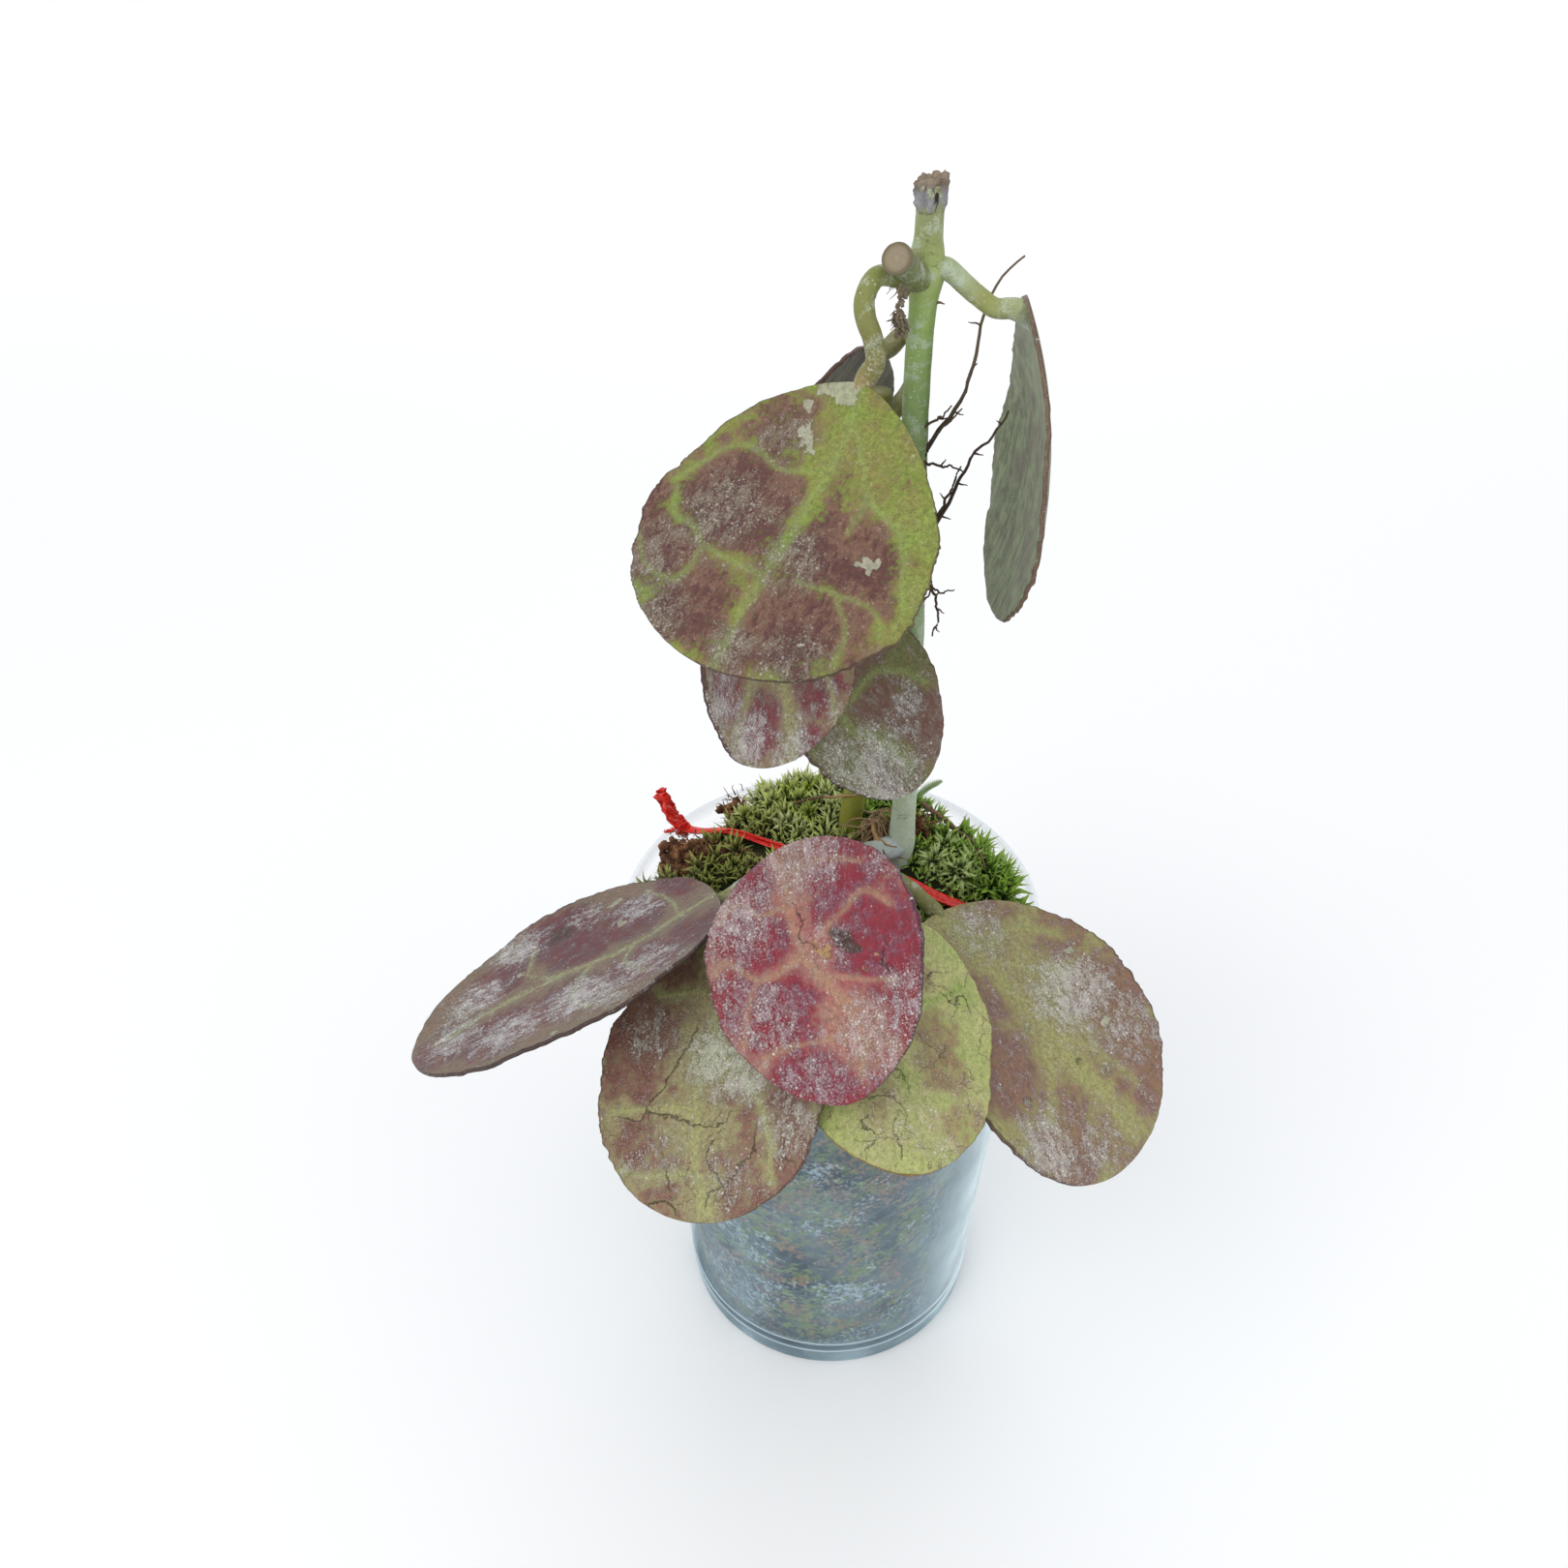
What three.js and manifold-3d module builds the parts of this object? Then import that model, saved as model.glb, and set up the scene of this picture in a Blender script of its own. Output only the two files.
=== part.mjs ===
// A potted Hoya waymaniae cutting: two stems and ten round, leathery leaves
// over a mound of moss in a thin frosted plastic cup, with a red raffia tie.
// Millimetres, +Z up. The origin is the centre of the cup's flat underside.

import * as THREE from 'three';
import { mergeVertices } from 'three/addons/utils/BufferGeometryUtils.js';
import Module from 'manifold-3d';

const wasm = await Module();
wasm.setup();

// Driving dimensions of the cup.
const ROUND_SIDES = 48;
const CUP_FOOT_RADIUS = 37.7;
const CUP_WALL_FOOT_RADIUS = 38.1;
const CUP_WALL_TOP_RADIUS = 46.8;
const CUP_WALL_FOOT_Z = 11;
const CUP_WALL_TOP_Z = 127.5;
const CUP_WALL = 1.2;
const CUP_FLOOR = 1.6;
const CUP_LIP_RADIUS = 47.6;
const CUP_HEIGHT = 131;

// Driving dimensions of what fills the cup.
const FIT_GAP = 0.35;
const SUBSTRATE_TOP = 123.4;
const HOLE_FLOOR = 111.5;
const MOSS_FOOT = SUBSTRATE_TOP + 0.3;
const MOSS_EDGE_TOP = 127;
const MOSS_DOME = 12;
const MOSS_FRONT_DROP = 5.5;
const MOSS_RINGS = 10;
const TUFT_COUNT = 80;

// How far the moss reaches from the axis, at each 15 degrees from +X turning to +Y.
const MOSS_REACH = [
  41, 38, 35.5, 36, 39, 42, 43, 41.5, 37, 34.5, 37, 41,
  44.2, 44.4, 44.4, 44.4, 44.4, 44.4, 44.4, 44.4, 44.4, 44.4, 44.4, 43.5,
];

// Driving dimensions of the stems.
const STEM_BURIED_Z = 112;
const STEM_MAIN_RADIUS = 2.8;
const STEM_MAIN_TOP_RADIUS = 2.35;
const STEM_SECOND_RADIUS = 2.7;
const PETIOLE_RADIUS = 1.75;
const ROOT_RADIUS = 0.5;

// Driving dimensions that every leaf shares.
const BLADE_ROWS = 16;
const BLADE_COLUMNS = 6;
const BLADE_EDGE_THICKNESS = 0.85;
const BLADE_RIB_THICKNESS = 1.25;
const MARGIN_WAVE = 0.4;
const MARGIN_WAVES = 6;

// Each leaf: where its upper face starts, its length and width, then how it lies in
// degrees (heading from +X, drop below level, roll about the midrib, how far the tip
// curls down, and how far the two halves fold down), then two shape numbers of its
// outline (how far forward it is widest, and how blunt its ends are).
const LEAVES = {
  leaf_top_left: {
    base: [4.6, -6, 257.7], length: 56.5, width: 54.3,
    heading: -125, drop: 35, roll: 7, curl: -2, fold: 15, forward: 1.23, blunt: 0.54,
  },
  leaf_top_back: {
    base: [10.8, 31.1, 248.4], length: 54, width: 46,
    heading: 201, drop: 44, roll: -59, curl: 14, fold: 21, forward: 1, blunt: 0.5,
  },
  leaf_middle_left: {
    base: [-17.2, -7.1, 231.7], length: 44.9, width: 38.4,
    heading: -69, drop: 39, roll: 26, curl: 31, fold: -30, forward: 1.04, blunt: 0.5,
  },
  leaf_middle_right: {
    base: [-9.4, -2.4, 211.8], length: 44.8, width: 36,
    heading: -35, drop: 37, roll: -13, curl: 18, fold: -10, forward: 0.91, blunt: 0.5,
  },
  leaf_hanging_right: {
    base: [33.2, 1.3, 269.1], length: 62, width: 48.8,
    heading: 3, drop: 69, roll: -3, curl: 45, fold: 15, forward: 1.26, blunt: 0.47,
  },
  leaf_low_left: {
    base: [-24.6, -20.2, 153.5], length: 69.6, width: 57.4,
    heading: 204, drop: 15, roll: -23, curl: 0.5, fold: -8, forward: 0.9, blunt: 0.54,
  },
  leaf_low_front_left: {
    base: [-21.1, -29.4, 151.7], length: 58.1, width: 50.1,
    heading: -101, drop: 20, roll: -19, curl: 17, fold: 1, forward: 1.1, blunt: 0.49,
  },
  leaf_low_centre: {
    base: [-7, -27.5, 173.9], length: 52.3, width: 43.6,
    heading: -86, drop: 19, roll: -25, curl: 23, fold: -19, forward: 0.93, blunt: 0.6,
  },
  leaf_low_front_right: {
    base: [10.1, -27.1, 153.1], length: 54.8, width: 44.8,
    heading: -89, drop: 19, roll: 11, curl: -5, fold: 30, forward: 0.86, blunt: 0.55,
  },
  leaf_low_right: {
    base: [23.1, -13.2, 139.8], length: 65.7, width: 53.6,
    heading: -54, drop: 12, roll: 5, curl: 28, fold: -24, forward: 1.01, blunt: 0.51,
  },
};

const LEAF_COLOURS = {
  leaf_top_left: 0x75722f,
  leaf_top_back: 0x4d4436,
  leaf_middle_left: 0x6e4a4a,
  leaf_middle_right: 0x5e5240,
  leaf_hanging_right: 0x66705a,
  leaf_low_left: 0x6b5358,
  leaf_low_front_left: 0x6f5843,
  leaf_low_centre: 0x8c3444,
  leaf_low_front_right: 0x8c8a45,
  leaf_low_right: 0x6c6238,
};

const group = new THREE.Group();

// Small helpers.

function material(colour, roughness) {
  return new THREE.MeshStandardMaterial({ color: colour, roughness, metalness: 0 });
}

function place(name, geometry, surface) {
  const mesh = new THREE.Mesh(geometry, surface);
  mesh.name = name;
  group.add(mesh);
  return mesh;
}

// A repeatable row of numbers between 0 and 1 from one seed.
function seeded(seed) {
  let state = seed;
  return () => {
    state = (state * 1664525 + 1013904223) % 4294967296;
    return state / 4294967296;
  };
}

function smooth(low, high, value) {
  const t = Math.min(1, Math.max(0, (value - low) / (high - low)));
  return t * t * (3 - 2 * t);
}

function radians(degrees) {
  return degrees * Math.PI / 180;
}

// Keep only positions, share equal corners and drop triangles with no area.
function welded(geometry) {
  const plain = geometry.clone();
  plain.deleteAttribute('normal');
  plain.deleteAttribute('uv');
  const merged = mergeVertices(plain, 1e-4);
  const source = merged.index.array;
  const kept = [];
  for (let i = 0; i < source.length; i += 3) {
    const [a, b, c] = [source[i], source[i + 1], source[i + 2]];
    if (a !== b && b !== c && c !== a) {
      kept.push(a, b, c);
    }
  }
  merged.setIndex(kept);
  return merged;
}

function solid(geometry) {
  const shape = welded(geometry);
  return new wasm.Manifold(new wasm.Mesh({
    numProp: 3,
    vertProperties: new Float32Array(shape.attributes.position.array),
    triVerts: new Uint32Array(shape.index.array),
  }));
}

function surfaceOf(body) {
  const mesh = body.getMesh();
  const geometry = new THREE.BufferGeometry();
  geometry.setAttribute('position', new THREE.BufferAttribute(new Float32Array(mesh.vertProperties), 3));
  geometry.setIndex(new THREE.BufferAttribute(new Uint32Array(mesh.triVerts), 1));
  geometry.computeVertexNormals();
  return geometry;
}

function joined(geometries) {
  let body = solid(geometries[0]);
  for (const geometry of geometries.slice(1)) {
    body = body.add(solid(geometry));
  }
  return surfaceOf(body);
}

// A closed round rod of changing thickness along a smooth curve. Thickness is given
// as radius at evenly spaced places from the start to the end.
function rod(points, radii, sides, steps) {
  const curve = new THREE.CatmullRomCurve3(points.map((p) => new THREE.Vector3(...p)), false, 'centripetal');
  const frames = curve.computeFrenetFrames(steps, false);
  const corners = [];
  const faces = [];
  for (let i = 0; i <= steps; i += 1) {
    const centre = curve.getPointAt(i / steps);
    const along = i / steps * (radii.length - 1);
    const low = Math.min(Math.floor(along), radii.length - 2);
    const radius = radii[low] + (radii[low + 1] - radii[low]) * (along - low);
    for (let j = 0; j < sides; j += 1) {
      const turn = 2 * Math.PI * j / sides;
      const corner = centre.clone()
        .addScaledVector(frames.normals[i], radius * Math.cos(turn))
        .addScaledVector(frames.binormals[i], radius * Math.sin(turn));
      corners.push(corner.x, corner.y, corner.z);
    }
  }
  for (let i = 0; i < steps; i += 1) {
    for (let j = 0; j < sides; j += 1) {
      const a = i * sides + j;
      const b = i * sides + (j + 1) % sides;
      faces.push(a, b, b + sides, a, b + sides, a + sides);
    }
  }
  const last = steps * sides;
  for (let j = 1; j < sides - 1; j += 1) {
    faces.push(0, j + 1, j);
    faces.push(last, last + j, last + j + 1);
  }
  const geometry = new THREE.BufferGeometry();
  geometry.setAttribute('position', new THREE.Float32BufferAttribute(corners, 3));
  geometry.setIndex(faces);
  return geometry;
}

// A flat strip of one width and thickness bent along a smooth curve.
function strip(points, width, thickness, steps) {
  const section = new THREE.Shape();
  section.moveTo(-thickness / 2, -width / 2);
  section.lineTo(thickness / 2, -width / 2);
  section.lineTo(thickness / 2, width / 2);
  section.lineTo(-thickness / 2, width / 2);
  section.closePath();
  const path = new THREE.CatmullRomCurve3(points.map((p) => new THREE.Vector3(...p)), false, 'centripetal');
  return new THREE.ExtrudeGeometry(section, { steps, bevelEnabled: false, extrudePath: path });
}

function turned(profile) {
  const shape = new THREE.LatheGeometry(profile.map(([r, z]) => new THREE.Vector2(r, z)), ROUND_SIDES);
  return shape.rotateX(Math.PI / 2);
}

// The cup.

function wallRadius(z) {
  const slope = (CUP_WALL_TOP_RADIUS - CUP_WALL_FOOT_RADIUS) / (CUP_WALL_TOP_Z - CUP_WALL_FOOT_Z);
  return CUP_WALL_FOOT_RADIUS + slope * (z - CUP_WALL_FOOT_Z);
}

function cup() {
  const inner = (z) => wallRadius(z) - CUP_WALL;
  return turned([
    [0, 0],
    [CUP_FOOT_RADIUS - 0.7, 0],
    [CUP_FOOT_RADIUS, 0.7],
    [CUP_FOOT_RADIUS, 5.4],
    [CUP_FOOT_RADIUS + 0.6, 6.2],
    [CUP_FOOT_RADIUS, 7],
    [CUP_FOOT_RADIUS, 8.6],
    [CUP_FOOT_RADIUS + 0.7, 9.5],
    [wallRadius(CUP_WALL_FOOT_Z), CUP_WALL_FOOT_Z],
    [wallRadius(CUP_WALL_TOP_Z), CUP_WALL_TOP_Z],
    [CUP_LIP_RADIUS - 0.2, CUP_WALL_TOP_Z + 0.7],
    [CUP_LIP_RADIUS, CUP_WALL_TOP_Z + 1.8],
    [CUP_LIP_RADIUS - 0.3, CUP_HEIGHT - 0.5],
    [CUP_LIP_RADIUS - 1.1, CUP_HEIGHT],
    [CUP_LIP_RADIUS - 1.8, CUP_HEIGHT - 0.6],
    [inner(CUP_WALL_TOP_Z), CUP_WALL_TOP_Z],
    [inner(CUP_WALL_FOOT_Z), CUP_WALL_FOOT_Z],
    [CUP_FOOT_RADIUS - CUP_WALL - 0.3, CUP_FLOOR],
    [0, CUP_FLOOR],
  ]);
}

// The stems' courses, from the buried end up.

const STEM_MAIN_COURSE = [
  [16, 5, STEM_BURIED_Z], [16, 5, 140], [16.5, 5, 164], [16.2, 5, 203],
  [15.2, 5, 245], [15.4, 5, 261], [16, 5, 273], [16.3, 5, 288],
];
const STEM_SECOND_COURSE = [
  [5, 15, STEM_BURIED_Z], [5, 15, 140], [6.5, 15, 156], [7.4, 15, 197], [8.7, 15, 228], [9.2, 15.2, 247],
];

function rootHole(x, y, radius) {
  const height = 60;
  const hole = new THREE.CylinderGeometry(radius, radius, height, 16);
  hole.rotateX(Math.PI / 2);
  hole.translate(x, y, HOLE_FLOOR + height / 2);
  return hole;
}

function withRootHoles(geometry) {
  const [mainX, mainY] = STEM_MAIN_COURSE[0];
  const [secondX, secondY] = STEM_SECOND_COURSE[0];
  const body = solid(geometry)
    .subtract(solid(rootHole(mainX, mainY, STEM_MAIN_RADIUS + FIT_GAP + 0.15)))
    .subtract(solid(rootHole(secondX, secondY, STEM_SECOND_RADIUS + FIT_GAP + 0.15)));
  return surfaceOf(body);
}

// The substrate fills the cup up to just under the moss.

function substrate() {
  const fill = (z) => wallRadius(z) - CUP_WALL - FIT_GAP;
  return withRootHoles(turned([
    [0, CUP_FLOOR + 0.3],
    [CUP_FOOT_RADIUS - CUP_WALL - 0.9, CUP_FLOOR + 0.3],
    [fill(CUP_WALL_FOOT_Z), CUP_WALL_FOOT_Z],
    [fill(SUBSTRATE_TOP), SUBSTRATE_TOP],
    [0, SUBSTRATE_TOP],
  ]));
}

// The red tie and the twig lie on the moss, which is pressed smooth under them.

const TIE_COURSE_PLAN = [
  [-34.5, 24.3], [-31, 22.5], [-22.5, 16.6], [-12.5, 9.6], [0, 3.4], [10, 0.2], [16, -1.3],
  [22.8, -4.6], [29.4, -7.3], [36, -9.6], [40.2, -11],
];
const TWIG_PLAN = [[22.5, 23.5], [26.5, 19], [30, 14], [33, 8.5]];
const TWIG_SIDE_PLAN = [[27.5, 17.5], [30.5, 17.6], [33, 18.2]];

function distanceToLine(x, y, line) {
  let nearest = Infinity;
  for (let i = 0; i < line.length - 1; i += 1) {
    const [ax, ay] = line[i];
    const [bx, by] = line[i + 1];
    const length = (bx - ax) ** 2 + (by - ay) ** 2;
    const t = Math.min(1, Math.max(0, ((x - ax) * (bx - ax) + (y - ay) * (by - ay)) / length));
    nearest = Math.min(nearest, Math.hypot(x - ax - t * (bx - ax), y - ay - t * (by - ay)));
  }
  return nearest;
}

function mossReach(angle) {
  const turn = ((angle / (2 * Math.PI)) % 1 + 1) % 1 * MOSS_REACH.length;
  const low = Math.floor(turn) % MOSS_REACH.length;
  const high = (low + 1) % MOSS_REACH.length;
  return MOSS_REACH[low] + (MOSS_REACH[high] - MOSS_REACH[low]) * (turn - Math.floor(turn));
}

function mossTop(x, y) {
  const share = Math.min(1, Math.hypot(x, y) / mossReach(Math.atan2(y, x)));
  const dome = MOSS_DOME - MOSS_FRONT_DROP * smooth(3, -12, y);
  const height = MOSS_EDGE_TOP + dome * Math.sqrt(1 - share ** 6);
  const lumps = 0.8 * Math.sin(0.5 * x + 1) * Math.sin(0.46 * y + 2) + 0.4 * Math.sin(0.9 * x - 0.7 * y);
  const free = smooth(2, 7, Math.min(distanceToLine(x, y, TIE_COURSE_PLAN), distanceToLine(x, y, TWIG_PLAN)));
  return height + lumps * free * (1 - share ** 4) - 0.4 * (1 - free);
}

function mossBed() {
  const corners = [];
  const faces = [];
  corners.push(0, 0, mossTop(0, 0));
  for (let ring = 1; ring <= MOSS_RINGS; ring += 1) {
    const share = Math.sin(Math.PI / 2 * ring / MOSS_RINGS);
    for (let j = 0; j < ROUND_SIDES; j += 1) {
      const angle = 2 * Math.PI * j / ROUND_SIDES;
      const x = share * mossReach(angle) * Math.cos(angle);
      const y = share * mossReach(angle) * Math.sin(angle);
      corners.push(x, y, ring === MOSS_RINGS ? MOSS_EDGE_TOP : mossTop(x, y));
    }
  }
  for (let j = 0; j < ROUND_SIDES; j += 1) {
    const angle = 2 * Math.PI * j / ROUND_SIDES;
    corners.push(mossReach(angle) * Math.cos(angle), mossReach(angle) * Math.sin(angle), MOSS_FOOT);
  }
  const centre = corners.length / 3;
  corners.push(0, 0, MOSS_FOOT);
  for (let j = 0; j < ROUND_SIDES; j += 1) {
    const next = (j + 1) % ROUND_SIDES;
    faces.push(0, 1 + j, 1 + next);
    for (let ring = 0; ring < MOSS_RINGS; ring += 1) {
      const a = 1 + ring * ROUND_SIDES + j;
      const b = 1 + ring * ROUND_SIDES + next;
      faces.push(a, a + ROUND_SIDES, b + ROUND_SIDES, a, b + ROUND_SIDES, b);
    }
    const foot = 1 + MOSS_RINGS * ROUND_SIDES;
    faces.push(centre, foot + next, foot + j);
  }
  const geometry = new THREE.BufferGeometry();
  geometry.setAttribute('position', new THREE.Float32BufferAttribute(corners, 3));
  geometry.setIndex(faces);
  return geometry;
}

// Small pointed tufts with their roots sunk into the bed, none where something lies on it.
function mossTufts() {
  const random = seeded(11);
  const tufts = [];
  const [mainX, mainY] = STEM_MAIN_COURSE[0];
  const [secondX, secondY] = STEM_SECOND_COURSE[0];
  while (tufts.length < TUFT_COUNT) {
    const angle = 2 * Math.PI * random();
    const reach = mossReach(angle) * (0.96 - 0.9 * random() ** 1.6);
    const x = reach * Math.cos(angle);
    const y = reach * Math.sin(angle);
    const radius = 2.1 + 1.1 * random();
    const height = 2.2 + 1.2 * random();
    const lean = 0.35 * (random() - 0.5);
    const covered = y < -6
      || distanceToLine(x, y, TIE_COURSE_PLAN) < 4
      || distanceToLine(x, y, TWIG_PLAN) < 3.6
      || distanceToLine(x, y, TWIG_SIDE_PLAN) < 3.2
      || Math.hypot(x - mainX, y - mainY) < 7
      || Math.hypot(x - secondX, y - secondY) < 6.5;
    if (!covered) {
      const tuft = new THREE.ConeGeometry(radius, height + 2, 5);
      tuft.rotateX(Math.PI / 2);
      tuft.rotateY(lean);
      tuft.rotateZ(angle * 5);
      tuft.translate(x, y, mossTop(x, y) + height / 2 - 1.2);
      tufts.push(tuft);
    }
  }
  return tufts;
}

// One pointed green leaflet of a seedling stands up out of the moss behind the stem.
function seedlingLeaflet() {
  return rod([[20.5, 28, 131], [21.2, 27.6, 137.5], [24, 27, 142.5], [27, 26.4, 145]], [0.7, 0.9, 1.5, 0.45], 5, 7);
}

function moss() {
  return withRootHoles(joined([mossBed(), ...mossTufts(), seedlingLeaflet()]));
}

function onMoss(plan, lift) {
  return plan.map(([x, y]) => [x, y, mossTop(x, y) + lift]);
}

function twig() {
  const main = rod(onMoss(TWIG_PLAN, 2.2), [0.75, 0.85, 0.7, 0.5], 6, 9);
  const side = rod(onMoss(TWIG_SIDE_PLAN, 2.5), [0.55, 0.5, 0.4], 5, 4);
  return joined([main, side]);
}

// The tie is one flat strip with a small knot at each end and a folded tail at the left.
function tieRibbon() {
  const width = 2.4;
  const thickness = 0.8;
  const knotRadius = 1.9;
  const course = onMoss(TIE_COURSE_PLAN, 1.5);
  const left = [-34.5, 24.3, 133.4];
  const right = [40.2, -11, 132.6];
  course[0] = left;
  course[1] = [-31, 22.5, 133.9];
  course[course.length - 1] = right;
  const pieces = [strip(course, thickness, width, 34)];
  for (const [x, y, z] of [left, right]) {
    const knot = new THREE.SphereGeometry(knotRadius, 8, 6);
    knot.scale(1, 1.15, 0.9);
    knot.translate(x, y, z);
    pieces.push(knot);
  }
  pieces.push(strip([left, [-36.5, 24.6, 137], [-38.2, 25, 141], [-38.9, 25.2, 144]], width, thickness, 6));
  pieces.push(strip([left, [-36.9, 23.3, 136.3], [-38, 23.2, 139.6]], width - 0.8, thickness, 4));
  return joined(pieces);
}

// Leaves. A blade lies in its own frame: X along the midrib, Y across, Z out of its upper face.

function leafBasis(leaf) {
  const heading = radians(leaf.heading);
  const drop = radians(leaf.drop);
  const roll = radians(leaf.roll);
  const forward = new THREE.Vector3(
    Math.cos(heading) * Math.cos(drop), Math.sin(heading) * Math.cos(drop), -Math.sin(drop));
  const up = new THREE.Vector3(
    Math.cos(heading) * Math.sin(drop), Math.sin(heading) * Math.sin(drop), Math.cos(drop));
  const side = new THREE.Vector3().crossVectors(up, forward);
  const normal = up.clone().multiplyScalar(Math.cos(roll)).addScaledVector(side, Math.sin(roll));
  const across = side.clone().multiplyScalar(Math.cos(roll)).addScaledVector(up, -Math.sin(roll));
  return { forward, across, normal };
}

// One place on the blade, by theta (0 at the base to pi at the tip) and q (-1 to 1 across),
// with the way out of the upper face there.
function bladePlace(leaf, theta, q) {
  const curl = radians(leaf.curl);
  const fold = radians(leaf.fold);
  const share = ((1 - Math.cos(theta)) / 2) ** (1 / leaf.forward);
  const crinkle = 1 + 0.012 * Math.sin(9 * theta + leaf.width) * Math.sign(q);
  const halfWidth = leaf.width / 2 * Math.sin(theta) ** (2 * leaf.blunt) * crinkle;
  const bent = curl * share;
  const x = leaf.length / curl * Math.sin(bent);
  const z = -leaf.length / curl * (1 - Math.cos(bent));
  const foldRadius = leaf.width / 2 / fold;
  const turn = q * halfWidth / foldRadius;
  const rise = -foldRadius * (1 - Math.cos(turn));
  const out = new THREE.Vector3(
    Math.sin(bent) * Math.cos(turn), Math.sin(turn), Math.cos(bent) * Math.cos(turn));
  const place = new THREE.Vector3(
    x + rise * Math.sin(bent), foldRadius * Math.sin(turn), z + rise * Math.cos(bent));
  const edge = Math.abs(q) ** 3 * Math.sin(theta);
  const wave = MARGIN_WAVE * edge * Math.sin(MARGIN_WAVES * theta + q * 1.7 + leaf.length);
  place.addScaledVector(out, wave);
  return { place, out };
}

function blade(leaf) {
  const corners = [];
  const faces = [];
  const upper = [];
  const lower = [];
  for (let i = 0; i < BLADE_ROWS; i += 1) {
    const theta = Math.PI * i / (BLADE_ROWS - 1);
    const pole = i === 0 || i === BLADE_ROWS - 1;
    const upperRow = [];
    const lowerRow = [];
    for (let j = 0; j <= BLADE_COLUMNS; j += 1) {
      if (pole && j > 0) {
        upperRow.push(upperRow[0]);
        lowerRow.push(lowerRow[0]);
        continue;
      }
      const q = pole ? 0 : 2 * j / BLADE_COLUMNS - 1;
      const across = pole ? 1 : q;
      const { place, out } = bladePlace(leaf, pole ? (i === 0 ? 0 : Math.PI) : theta, q);
      const thickness = BLADE_EDGE_THICKNESS + (BLADE_RIB_THICKNESS - BLADE_EDGE_THICKNESS) * (1 - across ** 2);
      upperRow.push(corners.length / 3);
      corners.push(place.x, place.y, place.z);
      place.addScaledVector(out, -thickness);
      lowerRow.push(corners.length / 3);
      corners.push(place.x, place.y, place.z);
    }
    upper.push(upperRow);
    lower.push(lowerRow);
  }
  const quad = (a, b, c, d) => {
    if (a !== b && b !== c && c !== a) {
      faces.push(a, b, c);
    }
    if (a !== c && c !== d && d !== a) {
      faces.push(a, c, d);
    }
  };
  for (let i = 0; i < BLADE_ROWS - 1; i += 1) {
    for (let j = 0; j < BLADE_COLUMNS; j += 1) {
      quad(upper[i][j], upper[i + 1][j], upper[i + 1][j + 1], upper[i][j + 1]);
      quad(lower[i][j], lower[i][j + 1], lower[i + 1][j + 1], lower[i + 1][j]);
    }
    const end = BLADE_COLUMNS;
    quad(upper[i][0], lower[i][0], lower[i + 1][0], upper[i + 1][0]);
    quad(upper[i][end], upper[i + 1][end], lower[i + 1][end], lower[i][end]);
  }
  const geometry = new THREE.BufferGeometry();
  geometry.setAttribute('position', new THREE.Float32BufferAttribute(corners, 3));
  geometry.setIndex(faces);
  geometry.computeVertexNormals();
  return geometry;
}

function placeLeaf(name) {
  const leaf = LEAVES[name];
  const { forward, across, normal } = leafBasis(leaf);
  const mesh = place(name, blade(leaf), material(LEAF_COLOURS[name], 0.55));
  mesh.quaternion.setFromRotationMatrix(new THREE.Matrix4().makeBasis(forward, across, normal));
  mesh.position.set(...leaf.base);
}

// A petiole ends either square against the blade's base, or under the blade a little way in.
function petiole(name, way, seat) {
  const leaf = LEAVES[name];
  const { forward, normal } = leafBasis(leaf);
  const end = new THREE.Vector3(...leaf.base);
  if (seat === 'under') {
    end.addScaledVector(forward, 3.2).addScaledVector(normal, -(BLADE_RIB_THICKNESS + PETIOLE_RADIUS + 0.45));
  } else {
    end.addScaledVector(forward, -0.45).addScaledVector(normal, -BLADE_RIB_THICKNESS / 2);
  }
  const before = end.clone().addScaledVector(forward, -2.2);
  const points = [...way, before.toArray(), end.toArray()];
  const radii = [PETIOLE_RADIUS + 0.35, PETIOLE_RADIUS, PETIOLE_RADIUS, PETIOLE_RADIUS - 0.1, PETIOLE_RADIUS - 0.15];
  return rod(points, radii, 7, 9);
}

// The main stem: nodes, the cut branch stub, its petioles, a short side shoot near
// the moss that carries the low leaves, and the thin dry aerial roots.

function stemMainRod() {
  const radii = [];
  const count = 26;
  const low = STEM_MAIN_COURSE[0][2];
  const high = STEM_MAIN_COURSE[STEM_MAIN_COURSE.length - 1][2];
  for (let i = 0; i <= count; i += 1) {
    const z = low + (high - low) * i / count;
    let radius = STEM_MAIN_RADIUS + (STEM_MAIN_TOP_RADIUS - STEM_MAIN_RADIUS) * i / count;
    radius += 0.9 * Math.exp(-(((z - 273) / 4) ** 2));
    radius += 0.8 * smooth(141, 143, z) * Math.exp(-(((z - 145) / 4) ** 2));
    radius += 0.25 * Math.exp(-(((z - 287) / 2) ** 2));
    radii.push(radius);
  }
  return rod(STEM_MAIN_COURSE, radii, 9, count);
}

function aerialRoot(points, start, end) {
  return rod(points, [start, (start + end) / 2, end], 4, points.length + 3);
}

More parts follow.
